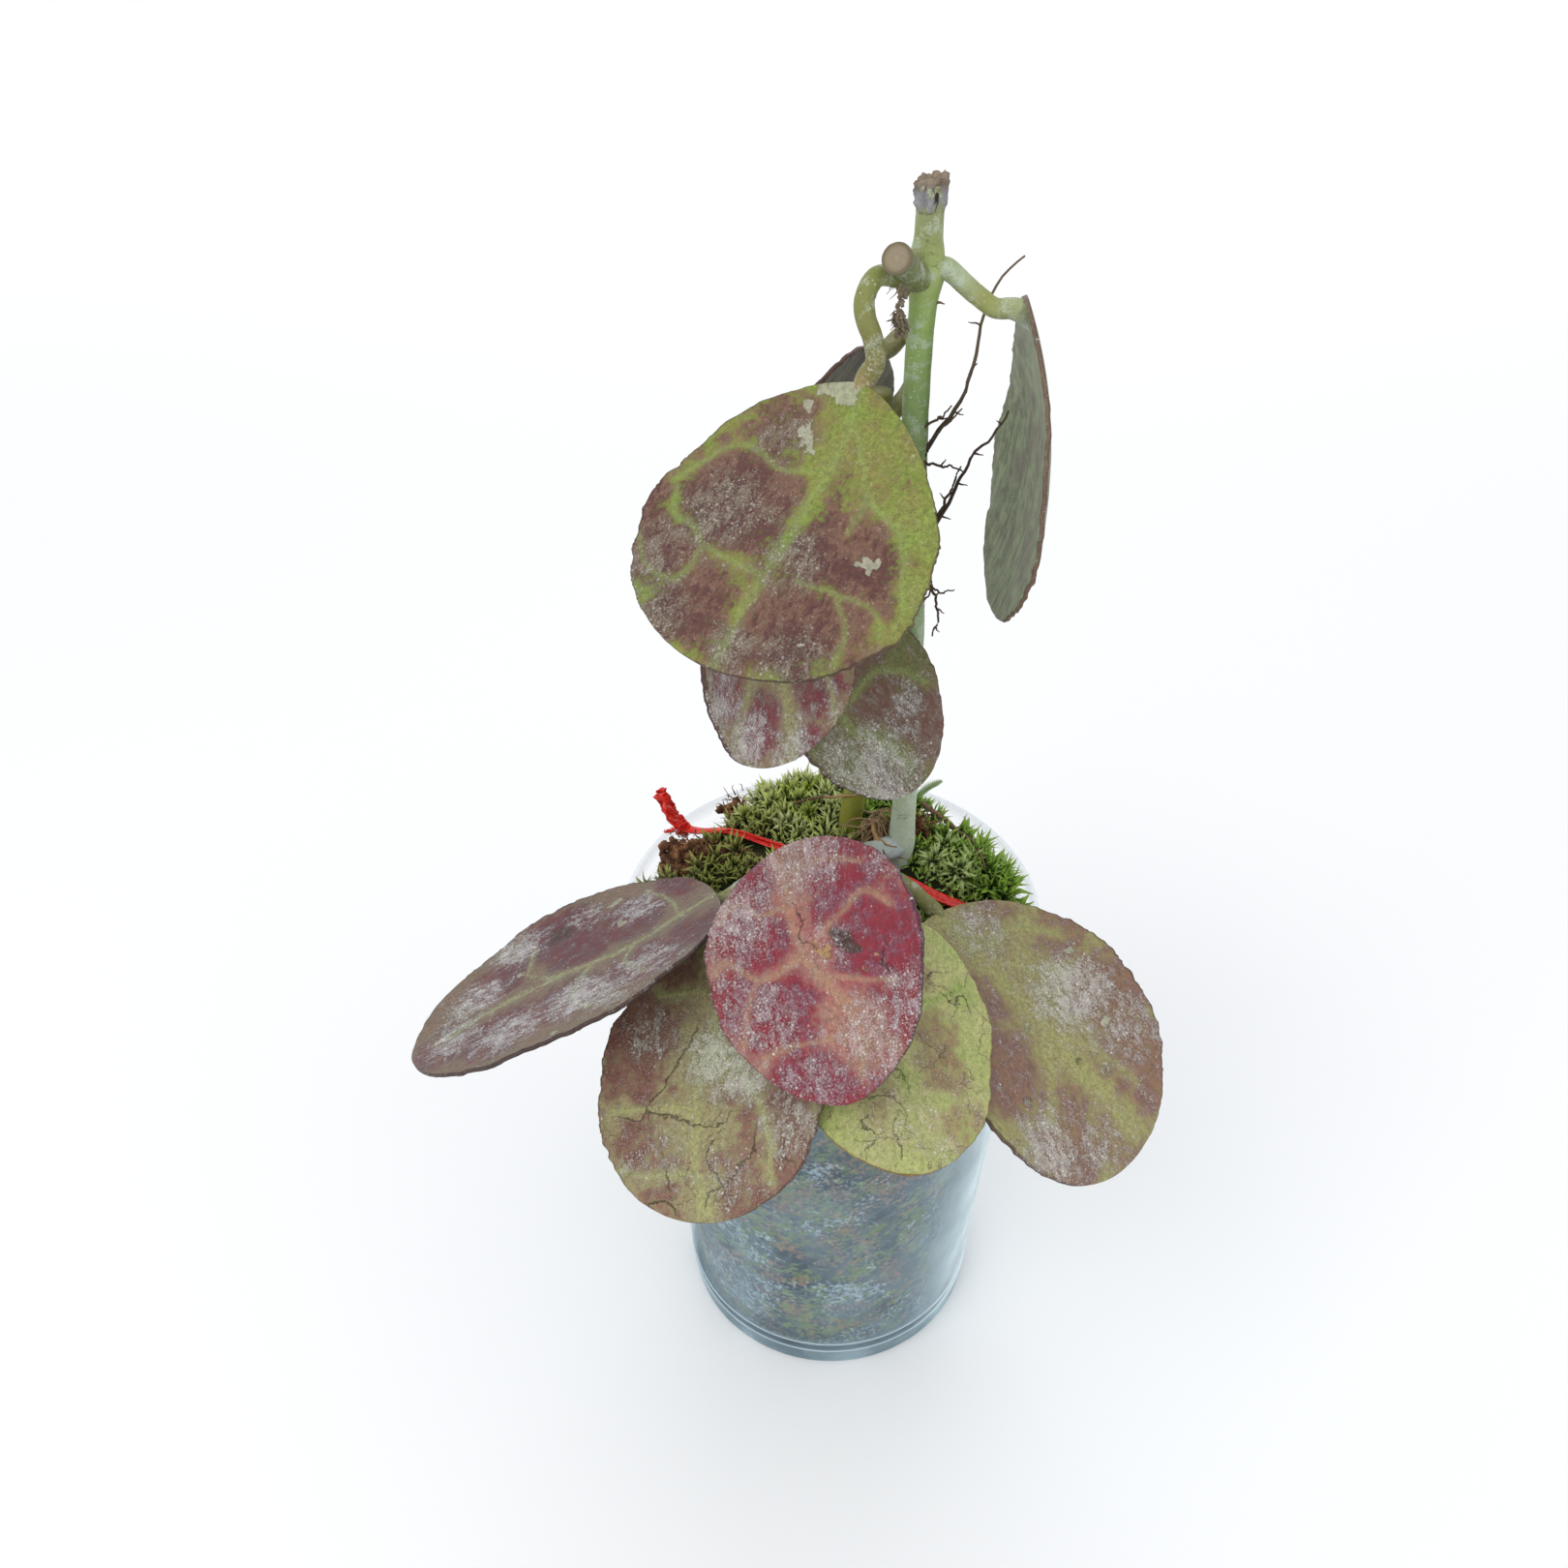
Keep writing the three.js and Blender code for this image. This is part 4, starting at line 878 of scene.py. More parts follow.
def turned(profile, sides, bumps=0.0, seed=0):
    """Each profile point (radius, height) becomes a ring: radius (cos, sin), height. The
    first and last rings close the skin on the axis. bumps moves the rings in by noise."""
    profile = np.asarray(profile, float)
    turn = around(sides)
    radius = profile[:, :1] * np.ones(sides)
    if bumps:
        place_x, place_y = 20 + 14 * np.cos(turn), 20 + 14 * np.sin(turn)
        height = np.cumsum(np.hypot(*np.gradient(profile, axis=0).T))[:, None]
        radius = radius - bumps * rough_noise(
            place_x * 3 + height, place_y * 3 + height * 0.3, 4, seed)
    height = profile[:, 1:] * np.ones(sides)
    points = np.stack([radius * np.cos(turn), radius * np.sin(turn), height], axis=-1)
    return points.reshape(-1, 3), ring_faces(len(profile), sides)


def rounded(profile, step):
    """Extra points along each straight part of a profile, about one step apart."""
    profile = np.asarray(profile, float)
    parts = []
    for start, end in zip(profile[:-1], profile[1:]):
        count = max(1, int(np.hypot(*(end - start)) / step))
        parts.append(start + (end - start) * (np.arange(count) / count)[:, None])
    return np.vstack(parts + [profile[-1:]])


def inner(z):
    """The radius of the wall's inside."""
    return wall_radius(z) - CUP_WALL


FOOT, TOP = CUP_FOOT_RADIUS, CUP_WALL_TOP_Z
CUP_PROFILE = [
    # underside and foot band
    (0.01, 0.9), (FOOT - 5, 0.9), (FOOT - 3, 0.0), (FOOT - 0.9, 0.0), (FOOT - 0.3, 0.25),
    (FOOT, 0.9), (FOOT, 5.3),
    # the two rings
    (FOOT + 0.35, 5.7), (FOOT + 0.6, 6.2), (FOOT + 0.35, 6.7), (FOOT - 0.05, 7.1),
    (FOOT - 0.05, 8.6), (FOOT + 0.4, 9.0), (FOOT + 0.7, 9.5), (FOOT + 0.45, 10.2),
    # the wall and its rolled lip
    (wall_radius(CUP_WALL_FOOT_Z), CUP_WALL_FOOT_Z), (wall_radius(TOP), TOP),
    (CUP_LIP_RADIUS - 0.25, TOP + 0.6), (CUP_LIP_RADIUS, TOP + 1.7),
    (CUP_LIP_RADIUS - 0.15, CUP_HEIGHT - 0.8), (CUP_LIP_RADIUS - 0.6, CUP_HEIGHT - 0.15),
    (CUP_LIP_RADIUS - 1.1, CUP_HEIGHT), (CUP_LIP_RADIUS - 1.6, CUP_HEIGHT - 0.25),
    # back down the inside
    (inner(TOP), TOP), (inner(CUP_WALL_FOOT_Z), CUP_WALL_FOOT_Z),
    (FOOT - CUP_WALL - 0.3, CUP_FLOOR + 0.6), (FOOT - CUP_WALL - 1.2, CUP_FLOOR),
    (0.01, CUP_FLOOR),
]
CUP_RING_HEIGHTS = 9.5, 6.2
CUP_RING_HIGHLIGHT_WIDTH = 0.35


def frosted_sheen_finish():
    """Milky plastic: the veil thickens and pales on the flanks as a painted sheen, stronger on
    the right, and at the rings and the lip as painted highlights; it also thickens on the foot
    band and in faint clouds, and the band above the soil is almost clear."""
    finish = Finish("frosted_plastic_sheen", Specular_IOR_Level=0.5)
    where = finish.place()
    cloud = finish.noise(where, 18, 4, 0.55)
    scuff = finish.noise(finish.stretched(where, 1, 1, 0.35), 3.5, 5, 0.6)
    flank_sheen, ring, foot, clear = (finish.attribute(key) for key in ("flank_sheen", "ring", "foot", "clear"))
    # Painted sheen: the flanks pale towards white, and below they also hold more veil.
    colour = finish.blend(flank_sheen * 0.9 + cloud * 0.2, paint(170, 200, 218), paint(230, 250, 255))
    # Painted highlights: pale lines at the two rings and round the lip, which also thicken the veil
    # below.
    colour = finish.blend(ring * 0.8, colour, paint(226, 236, 242))
    band = finish.blend(cloud.between(0.35, 0.65), paint(122, 150, 162), paint(176, 204, 214))
    colour = finish.blend(foot, colour, band)
    veil = 0.13 + flank_sheen * (0.16 + cloud * 0.64) + (cloud - 0.5) * 0.2 + (scuff - 0.5) * 0.14
    veil = veil * (1 - clear * 0.85) + ring * 0.7 + foot * 0.5
    scratch = finish.noise(finish.stretched(where, 1, 1, 0.08), 1.4, 3, 0.7)
    return finish.set(colour=colour, roughness=0.36 + (scuff - 0.5) * 0.25, alpha=veil,
                      relief=scuff + scratch * 0.4, height=0.05)


cup_points, cup_faces = turned(rounded(CUP_PROFILE, 3.0), 144)
# Painted sheen: the flanks, seen at a grazing angle, are paler and less clear, and the right side is
# painted lighter still, as if better lit.
cup_turn = np.arctan2(cup_points[:, 1], cup_points[:, 0] + 2.0)
cup_height = cup_points[:, 2]
cup_side = np.cos(cup_turn)
cup_flank_sheen = np.minimum(1.1, np.abs(cup_side) ** (4.2 - 0.8 * cup_side) * (1 + 0.8 * cup_side))
cup_flank_sheen = cup_flank_sheen * (1 - smooth(118.0, 125.0, cup_height))
# Painted highlights: thin pale lines along the two rings and round the top of the lip.
cup_ring_highlight = sum(np.exp(-(((cup_height - z) / CUP_RING_HIGHLIGHT_WIDTH) ** 2)) for z in CUP_RING_HEIGHTS)
cup_ring_highlight = cup_ring_highlight + 0.4 * smooth(129.5, 130.8, cup_height)
make_piece("cup_wall", cup_points, cup_faces, frosted_sheen_finish(), replaces=["pot"],
           attributes={"flank_sheen": cup_flank_sheen, "ring": cup_ring_highlight, "clear": smooth(119.0, 126.0, cup_height),
                       "foot": smooth(6.0, 5.3, cup_height)})

# %% [markdown]
# ## The soil in the cup
#
# What shows through the plastic is a chopped mix: grey peat, green moss, pale perlite-like
# crumbs and a few rusty fibres, all lying a little aslant. The core is a plain turned
# solid with a lightly bumpy skin, and its material sorts the crumbs by layered noise.

# %% Soil
FIT_GAP = 0.35
SUBSTRATE_TOP = 123.4
SOIL_SLANT = 0.5  # radians


def soil_finish():
    """Grey ground, then green, pale and brown patches, dark pits and thin rusty fibres."""
    finish = Finish("soil_mix", Specular_IOR_Level=0.2)
    where = finish.place()
    slant = finish.node("ShaderNodeMapping", {"vector_type": "POINT"}, {
        0: where, 2: (0.0, SOIL_SLANT, 0.0)})
    aslant = finish.warped(Pattern(finish, slant.outputs[0]), 10, 2)
    chips = finish.noise(finish.stretched(aslant, 0.8, 0.8, 1.3), 3.2, 5, 0.7).between(0.36, 0.64)
    crumb = finish.noise(aslant, 1.1, 3, 0.7).between(0.34, 0.66)
    tone = finish.noise(where, 15, 3, 0.5).between(0.38, 0.62)
    colour = finish.blend(chips * 0.4 + crumb * 0.2 + tone * 0.6 - 0.12,
                          paint(26, 36, 40), paint(112, 122, 120))
    moss = (finish.noise(aslant, 15, 4, 0.6) + (chips - 0.5) * 0.25).between(0.5, 0.6)
    brown = (finish.noise(aslant, 7, 4, 0.6) + (crumb - 0.5) * 0.25).between(0.55, 0.63)
    pale = (finish.noise(where, 20, 6, 0.68) + (crumb - 0.5) * 0.2).between(0.55, 0.64)
    for share, mix, dark, light in [
            (moss * 0.85, chips * 0.6 + crumb * 0.4, (44, 62, 22), (140, 158, 78)),
            (brown * 0.8, crumb, (78, 54, 42), (172, 130, 98)),
            (pale * 0.8, chips * 0.5 + crumb * 0.5, (96, 118, 128), (204, 220, 228))]:
        colour = finish.blend(share, colour, finish.blend(mix, paint(*dark), paint(*light)))
    strand = finish.noise(finish.stretched(aslant, 0.3, 0.3, 1), 5, 1, 0.4)
    fibre = 1 - (strand - 0.5).most(0.5 - strand).between(0.003, 0.009)
    fibre = fibre * finish.noise(where, 7).between(0.48, 0.58)
    colour = finish.blend(fibre * 0.8, colour, paint(150, 100, 76))
    pits = finish.noise(where, 1.8, 3, 0.65).between(0.57, 0.66)
    colour = finish.blend(pits * 0.8, colour, paint(18, 24, 26))
    return finish.set(colour=colour, roughness=0.9, relief=chips + crumb * 0.5, height=0.25)


soil_profile = [
    (0.01, CUP_FLOOR + 0.3), (CUP_FOOT_RADIUS - CUP_WALL - 0.9, CUP_FLOOR + 0.3),
    (inner(CUP_WALL_FOOT_Z) - FIT_GAP, CUP_WALL_FOOT_Z),
    (inner(SUBSTRATE_TOP) - FIT_GAP, SUBSTRATE_TOP), (0.01, SUBSTRATE_TOP),
]
soil_points, soil_faces = turned(rounded(soil_profile, 1.6), 160, bumps=0.5, seed=5)
make_piece("soil_core", soil_points, soil_faces, soil_finish(), replaces=["substrate"])

# %% [markdown]
# ## Grown skins
#
# Stems, roots, moss and dry litter share one kind of finish: each point of the mesh carries
# its own colour, worked out with numpy where the real plant changes along its length, and
# the material adds fine mottling, pale bloom and relief that are too small for the mesh.

# %% Tinted finish


def grown_finish(name, mottle=0.25, mottle_size=1.2, bloom=0.0, cracks=0.0, roughness=0.6, depth=0.1):
    """The mesh's own tint times a mottle around 1, then pale bloom and thin brown rings."""
    finish = Finish(name, Specular_IOR_Level=0.3)
    where = finish.place()
    grain = finish.noise(where, mottle_size, 4, 0.65)
    fine = finish.noise(where, mottle_size * 0.3, 3, 0.6)
    light = finish.node("ShaderNodeVectorMath", {"operation": "SCALE"}, {
        0: finish.attribute("tint", vector=True),
        "Scale": 1 + (grain - 0.5) * 2.4 * mottle + (fine - 0.5) * 1.6 * mottle})
    colour = Pattern(finish, light.outputs[0])
    if bloom:
        patches = (finish.noise(where, 3.2, 4, 0.6) + (fine - 0.5) * 0.5).between(0.5, 0.66)
        colour = finish.blend(patches * bloom, colour, paint(186, 196, 182))
        flecks = 1 - finish.cells(where, 1.0).between(0.1, 0.26)
        flecks = flecks * finish.noise(where, 4).between(0.46, 0.62)
        colour = finish.blend(flecks * bloom * 1.1, colour, paint(214, 218, 208))
    if cracks:
        rings = finish.noise(finish.stretched(where, 0.3, 0.3, 1), 1.6, 3, 0.5, 0.4)
        line = 1 - (rings - 0.5).most(0.5 - rings).between(0.003, 0.014)
        line = line * finish.noise(where, 5).between(0.5, 0.6)
        colour = finish.blend(line * cracks, colour, paint(78, 62, 44))
    return finish.set(colour=colour, roughness=roughness + (grain - 0.5) * 0.2,
                      relief=grain + fine * 0.5, height=depth)


def make_grown(name, shape, faces, tint, skin, slot, replaces=(), **look):
    """A piece in a grown finish, with its own tint at each point."""
    make_piece(name, shape, faces, grown_finish(skin, **look), replaces, {"tint": tint})


def tints(*stops):
    """A function from 0..1 (or any key numbers) to light values, straight between stops."""
    keys = [stop[0] for stop in stops]
    parts = np.array([paint(*stop[1]) for stop in stops]).T
    return lambda value: np.stack([np.interp(value, keys, part) for part in parts], axis=-1)


# %% [markdown]
# ## The stems
#
# Both stems are round, with swollen nodes, and the leaf stalks leave them at the nodes.
# Each rod is a circle carried along a smooth curve, with its radius changing on the way
# and a little noise on it, so that it isn't a machined bar. Where stalks meet the stem
# they are sunk into it, as they are grown together on the plant.

# %% Stem rods
STEM_MAIN_RADIUS, STEM_MAIN_TOP_RADIUS = 2.8, 2.35
PETIOLE_RADIUS = 1.75
STEM_FOOT_Z, STEM_MAIN_TOP_Z = 112, 287.3
STEM_NODE_Z, STEM_LOW_NODE_Z = 273, 145
STEM_MAIN_COURSE = [
    (16, 5, STEM_FOOT_Z), (16, 5, 140), (16.5, 5, 164), (16.2, 5, 203), (15.2, 5, 245),
    (15.4, 5, 261), (16, 5, STEM_NODE_Z), (16.3, 5, STEM_MAIN_TOP_Z),
]
STEM_SECOND_COURSE = [
    (5, 15, STEM_FOOT_Z), (5, 15, 140), (6.5, 15, 156), (7.4, 15, 197), (8.7, 15, 228),
    (9.2, 15.2, 247),
]


def grown_rod(points, radii, tint, rows, sides=20, rough=0.06, seed=1):
    """A tube whose radius follows evenly spaced radii, times 1 plus noise, with a tint for
    each share of its length."""
    path = smooth_path(points, rows)
    share = np.linspace(0, 1, rows)
    radius = np.interp(share, np.linspace(0, 1, len(radii)), radii)
    turn = around(sides)
    walked = share[:, None] * rows * 0.5
    bumps = rough_noise(
        walked + 40 + 3 * np.cos(turn), 40 + 3 * np.sin(turn) + 0 * walked, 3.1, seed) - 0.5
    shape, faces = tube(path, radius[:, None] * (1 + 2 * rough * bumps), sides)
    return shape, faces, np.repeat(tint(share), sides, axis=0)


def petiole_course(name, way, seat):
    """The stalk's given way, then a short run into the blade, where it thins away: through
    its base edge, or from under it a little way in."""
    base, angles = np.asarray(LEAVES[name][0], float), LEAVES[name][3]
    forward, _, normal = leaf_basis(*angles)
    if seat == "under":
        before = base + forward * 1.2 - normal * (BLADE_RIB_THICKNESS + 1.2)
        end = base + forward * 6.5 - normal * 0.9
    else:
        before = base - forward * 1.6 - normal * 0.9
        end = base + forward * 4.0 - normal * 0.75
    return [*way, before.tolist(), end.tolist()]


def main_radius(share):
    """Tapers upwards, and swells at two nodes, at a thin ring and under the cut top."""
    z = STEM_FOOT_Z + (STEM_MAIN_TOP_Z - STEM_FOOT_Z) * share
    radius = STEM_MAIN_RADIUS + (STEM_MAIN_TOP_RADIUS - STEM_MAIN_RADIUS) * share
    radius = radius + 0.9 * np.exp(-(((z - STEM_NODE_Z) / 4) ** 2))
    radius = radius + 0.4 * smooth(141, 143, z) * np.exp(-(((z - STEM_LOW_NODE_Z) / 4) ** 2))
    return radius + 0.2 * np.exp(-(((z - 286) / 2) ** 2)) + 0.12 * np.exp(-(((z - 276.5) / 0.6) ** 2))


# the stalk's way, how it meets the blade, and its tints from the stem to the blade
PETIOLES = {
    "leaf_top_left": (
        [(15, 4, 271.5), (10.5, 1.5, 273.2), (7, -1.2, 274), (5.2, -3, 271.6), (5.2, -3.8, 268.6),
         (6.7, -4.2, 264.2), (7.1, -4.6, 260.8)], "edge",
        [(0, (112, 118, 78)), (0.3, (128, 134, 74)), (0.75, (126, 120, 72)), (1, (150, 130, 92))]),
    "leaf_hanging_right": (
        [(16, 5, 272.5), (19, 4.2, 273.4), (22, 3.6, 271.4), (25.1, 3, 268.8), (27.8, 2.2, 267.2)],
        "under", [(0, (138, 152, 96)), (0.25, (160, 172, 136)), (0.5, (142, 144, 82)),
                  (0.75, (150, 158, 112)), (0.9, (188, 196, 182))]),
    "leaf_low_centre": (
        [(-6.5, -15, 156.5), (-6.5, -20, 162)], "under",
        [(0, (120, 122, 76)), (1, (150, 130, 100))]),
    "leaf_low_left": (
        [(-5, -13.7, 155.6), (-11, -14.6, 156.3)], "under",
        [(0, (120, 122, 76)), (1, (140, 136, 96))]),
    "leaf_low_front_left": (
        [(-5.8, -14.4, 156), (-13, -17, 157.2), (-18.5, -22, 156)], "edge",
        [(0, (120, 122, 76)), (1, (136, 130, 84))]),
    "leaf_low_front_right": (
        [(2, -7.8, 151.5), (6, -13, 155), (9.4, -19.5, 156)], "edge",
        [(0, (124, 128, 78)), (1, (148, 150, 84))]),
    "leaf_low_right": (
        [(6.5, -3.7, 149), (12, -7.5, 146.4), (17.5, -8.4, 142.2)], "edge",
        [(0, (120, 122, 76)), (1, (124, 120, 72))]),
    "leaf_top_back": (
        [(9, 15.2, 240), (15, 19.5, 244.5), (18, 27, 248.5), (15.4, 31.5, 251.6)], "edge",
        [(0, (118, 116, 62)), (1, (120, 116, 78))]),
    "leaf_middle_left": (
        [(8.5, 15, 222), (-1, 10, 228), (-11, 2.5, 233.8), (-17.2, -2.6, 235)], "edge",
        [(0, (118, 116, 62)), (1, (124, 120, 72))]),
    "leaf_middle_right": (
        [(7.6, 15, 206), (0, 12.5, 211.5), (-9.5, 7, 215.6), (-13, 2, 215.4)], "edge",
        [(0, (118, 116, 62)), (1, (130, 130, 80))]),
}


def petiole_rod(name, seed):
    """A stalk, thicker where it leaves the stem and where it meets the blade."""
    way, seat, stops = PETIOLES[name]
    course = petiole_course(name, way, seat)
    walk = np.linalg.norm(np.diff(np.array(course, float), axis=0), axis=1)
    share = np.linspace(0, 1, 60)
    last = walk[-1] / walk.sum()
    swelling = 0.2 * np.exp(-(((share - 1 + last) / 0.08) ** 2))
    radii = PETIOLE_RADIUS + 0.45 * smooth(0.25, 0.0, share) + swelling
    radii = radii - (PETIOLE_RADIUS - 0.35) * smooth(1 - last, 1.0, share)
    return grown_rod(course, radii, tints(*stops), 80, 18, 0.07, seed)


def merged_rods(rods):
    """Several rods as one mesh, with their tints in the same order."""
    points, faces = grown([(rod[0], rod[1]) for rod in rods])
    return points, faces, np.vstack([rod[2] for rod in rods])


main_tint = tints(
    (0.0, (150, 166, 142)), (0.1, (174, 186, 166)), (0.21, (178, 190, 168)), (0.32, (156, 172, 136)),
    (0.6, (134, 154, 110)), (0.72, (126, 148, 98)), (0.8, (132, 156, 96)), (0.88, (142, 166, 94)),
    (0.915, (154, 172, 104)), (0.95, (140, 148, 94)), (0.985, (138, 144, 104)))
shoot_tint = tints((0, (150, 160, 156)), (0.2, (170, 178, 178)), (0.5, (140, 146, 120)),
                   (1, (116, 120, 72)))
stub_tint = tints((0, (120, 130, 78)), (1, (112, 116, 80)))
main_rods = [
    grown_rod(STEM_MAIN_COURSE, main_radius(np.linspace(0, 1, 200)), main_tint, 260, 26, 0.05, 3),
    grown_rod([(15.6, 4.6, 271), (13, 0.2, 274.6), (10.3, -4.8, 278.2)], [2.2, 2.3, 2.5],
              stub_tint, 24, 22, 0.06, 5),
    grown_rod([(16, 5, 143.5), (11, 0.5, 146.2), (3, -7, 151), (-6.5, -15, 156.5)],
              [2.8, 2.5, 2.0, 2.1, 2.1, 2.5], shoot_tint, 60, 20, 0.24, 7),
]
main_rods += [petiole_rod(name, 20 + number) for number, name in enumerate([
    "leaf_top_left", "leaf_hanging_right", "leaf_low_centre", "leaf_low_left",
    "leaf_low_front_left", "leaf_low_front_right", "leaf_low_right"])]
make_grown("stem_main_skin", *merged_rods(main_rods), "stem_skin", "stem_main", ["stem_main"],
           mottle=0.16, bloom=0.55, cracks=0.5, roughness=0.55)

second_tint = tints((0, (110, 112, 52)), (0.12, (128, 130, 50)), (0.3, (138, 140, 56)),
                    (0.6, (120, 122, 60)), (1, (112, 112, 60)))
second_rods = [grown_rod(STEM_SECOND_COURSE, [2.7, 2.7, 2.6, 2.9, 2.5, 2.9, 2.5], second_tint,
                         190, 24, 0.04, 11)]
second_rods += [petiole_rod(name, 30 + number) for number, name in enumerate(
    ["leaf_top_back", "leaf_middle_left", "leaf_middle_right"])]
make_grown("stem_second_skin", *merged_rods(second_rods), "second_skin", "stem_second",
           ["stem_second"], mottle=0.22, mottle_size=0.9, bloom=0.14, cracks=0.25, roughness=0.5)

# %% [markdown]
# ## Cut ends
#
# The top of the main stem was cut and has dried: a lilac-grey collar, split at the front,
# under a crumbly crown of pith. A side branch was cut square, and shows a beige disc with
# a darker ring. Both are short turned forms with noise on them, set on the rods' ends.

# %% Cut ends
CROWN_SIDES, DISC_SIDES = 40, 36


def cap_on(centre, axis, profile, sides, rough, seed):
    """A profile of (radius, height) rings carried round any axis through a centre, each
    point moved out and along by noise."""
    axis, profile = unit(np.asarray(axis, float)), np.asarray(profile, float)
    side = unit(np.cross(axis, [0.0, 0.0, 1.0] if abs(axis[2]) < 0.9 else [0.0, 1.0, 0.0]))
    turn = around(sides)
    noise = rough_noise(30 + profile[:, :1] * np.cos(turn) * 2,
                        30 + profile[:, :1] * np.sin(turn) * 2 + profile[:, 1:] * 3, 1.3, seed) - 0.5
    radius = profile[:, :1] * (1 + 0.25 * rough * noise)
    height = profile[:, 1:] + rough * noise * np.linspace(0, 1, len(profile))[:, None]
    ring = np.cos(turn)[:, None] * side + np.sin(turn)[:, None] * np.cross(axis, side)
    points = np.asarray(centre, float) + radius[..., None] * ring + height[..., None] * axis
    return points.reshape(-1, 3), ring_faces(len(profile), sides), noise


crown_profile = [
    (2.2, -1.8), (2.5, -1.4), (2.62, -0.6), (2.68, 0.4), (2.62, 1.4), (2.6, 2.2), (2.5, 3.0),
    (2.2, 3.5), (1.7, 3.5), (1.1, 3.2), (0.6, 3.4), (0.15, 3.3)]
crown, crown_faces, crown_noise = cap_on(
    (16.25, 5, 284.6), (0.02, 0, 1), crown_profile, CROWN_SIDES, 2.6, 4)
crown[:, 2] += 0.18 * (crown[:, 0] - 15.6) * smooth(285.5, 287.5, crown[:, 2])
crown_height = np.repeat([row[1] for row in crown_profile], CROWN_SIDES)
crown_row = np.repeat(np.arange(len(crown_profile)), CROWN_SIDES)
crown_tint = tints(
    (0, (138, 144, 104)), (1.5, (150, 150, 140)), (3, (152, 152, 156)), (4.5, (130, 126, 128)),
    (5.5, (122, 108, 94)), (7, (156, 140, 120)), (9, (130, 114, 96)), (11, (168, 152, 128)),
)(crown_row + 3 * crown_noise.ravel())
crown_split = np.abs(crown[:, 0] - 16.9) < 0.2 + 0.35 * (crown_height + 0.6) / 3
crown_split &= (crown[:, 1] < 4) & (crown_row < 6)
crown_tint = np.where(crown_split[:, None], paint(52, 44, 40), crown_tint)
make_grown("stem_crown", crown, crown_faces, crown_tint, "cut_pith", "stem_main",
           mottle=0.4, mottle_size=0.5, roughness=0.9, depth=0.25)

disc_profile = [
    (2.3, -0.8), (2.62, -0.3), (2.68, 0.2), (2.6, 0.45), (2.3, 0.5), (1.9, 0.42), (1.3, 0.4),
    (0.7, 0.38), (0.1, 0.38)]
disc, disc_faces, _ = cap_on(
    (10.2, -5, 278.3), (-2.8, -5.2, 3.7), disc_profile, DISC_SIDES, 0.15, 8)
disc_tint = tints(
    (0.0, (152, 140, 118)), (0.9, (138, 126, 104)), (1.7, (148, 136, 112)), (2.2, (116, 102, 82)),
    (2.5, (108, 96, 78)), (2.7, (112, 114, 80)),
)(np.repeat([row[0] for row in disc_profile], DISC_SIDES))
make_grown("stub_disc", disc, disc_faces, disc_tint, "cut_wood", "stem_main",
           mottle=0.12, mottle_size=0.7, roughness=0.85, depth=0.1)

# %% [markdown]
# ## Aerial roots and dry fibres
#
# Thin wiry roots stand off the main stem, dead and brown, with short spurs. They are
# tubes a fraction of a millimetre thick, whose paths get small kinks from seeded noise.
# Tufts of dry fibre sit where stalks meet the stem, and between the two stems' feet.

# %% Wiry strands


def wiry(points, start, end, kink, seed, rows=26, sides=5):
    """A thin tube along a smooth path that is pushed sideways by seeded random steps,
    smoothed a little, and thins from start to end."""
    path = smooth_path(points, rows)
    steps = np.random.default_rng(seed).normal(size=(rows, 3))
    steps = (steps + np.roll(steps, 1, axis=0)) * kink / 2
    path = path + steps * np.sin(np.linspace(0, np.pi, rows))[:, None] ** 0.5
    return tube(path, np.linspace(start, end, rows), sides)


def crumbs(centre, spread, count, sizes, seed):
    """Small lumpy balls scattered round a centre: each is a grid of latitude and longitude
    whose radius is 1 plus noise."""
    random = np.random.default_rng(seed)
    turn = around(8)
    lift = np.linspace(0.12, np.pi - 0.12, 6)[::-1, None]
    ball = np.stack([np.sin(lift) * np.cos(turn), np.sin(lift) * np.sin(turn),
                     np.cos(lift) * np.ones(8)], axis=-1)
    lumps = []
    for _ in range(count):
        middle = np.asarray(centre) + random.normal(size=3) * spread
        radius = random.uniform(*sizes) * (1 + random.uniform(-0.35, 0.35, (6, 8)))
        lumps.append(((middle + ball * radius[..., None]).reshape(-1, 3), ring_faces(6, 8)))
    return lumps


def tuft(centre, spread, axis, length, count, thickness, seed, curl=0.5):
    """Many short strands that start round a centre and run roughly along an axis."""
    random = np.random.default_rng(seed)
    strands = []
    for number in range(count):
        start = np.asarray(centre) + random.normal(size=3) * spread
        way = unit(np.asarray(axis, float) + random.normal(size=3) * curl)
        way = way * length * random.uniform(0.5, 1.2)
        bend = random.normal(size=3) * length * 0.15
        strands.append(wiry([start, start + way * 0.5 + bend, start + way], thickness,
                            thickness * 0.3, 0.06, seed + number, 7, 4))
    return strands


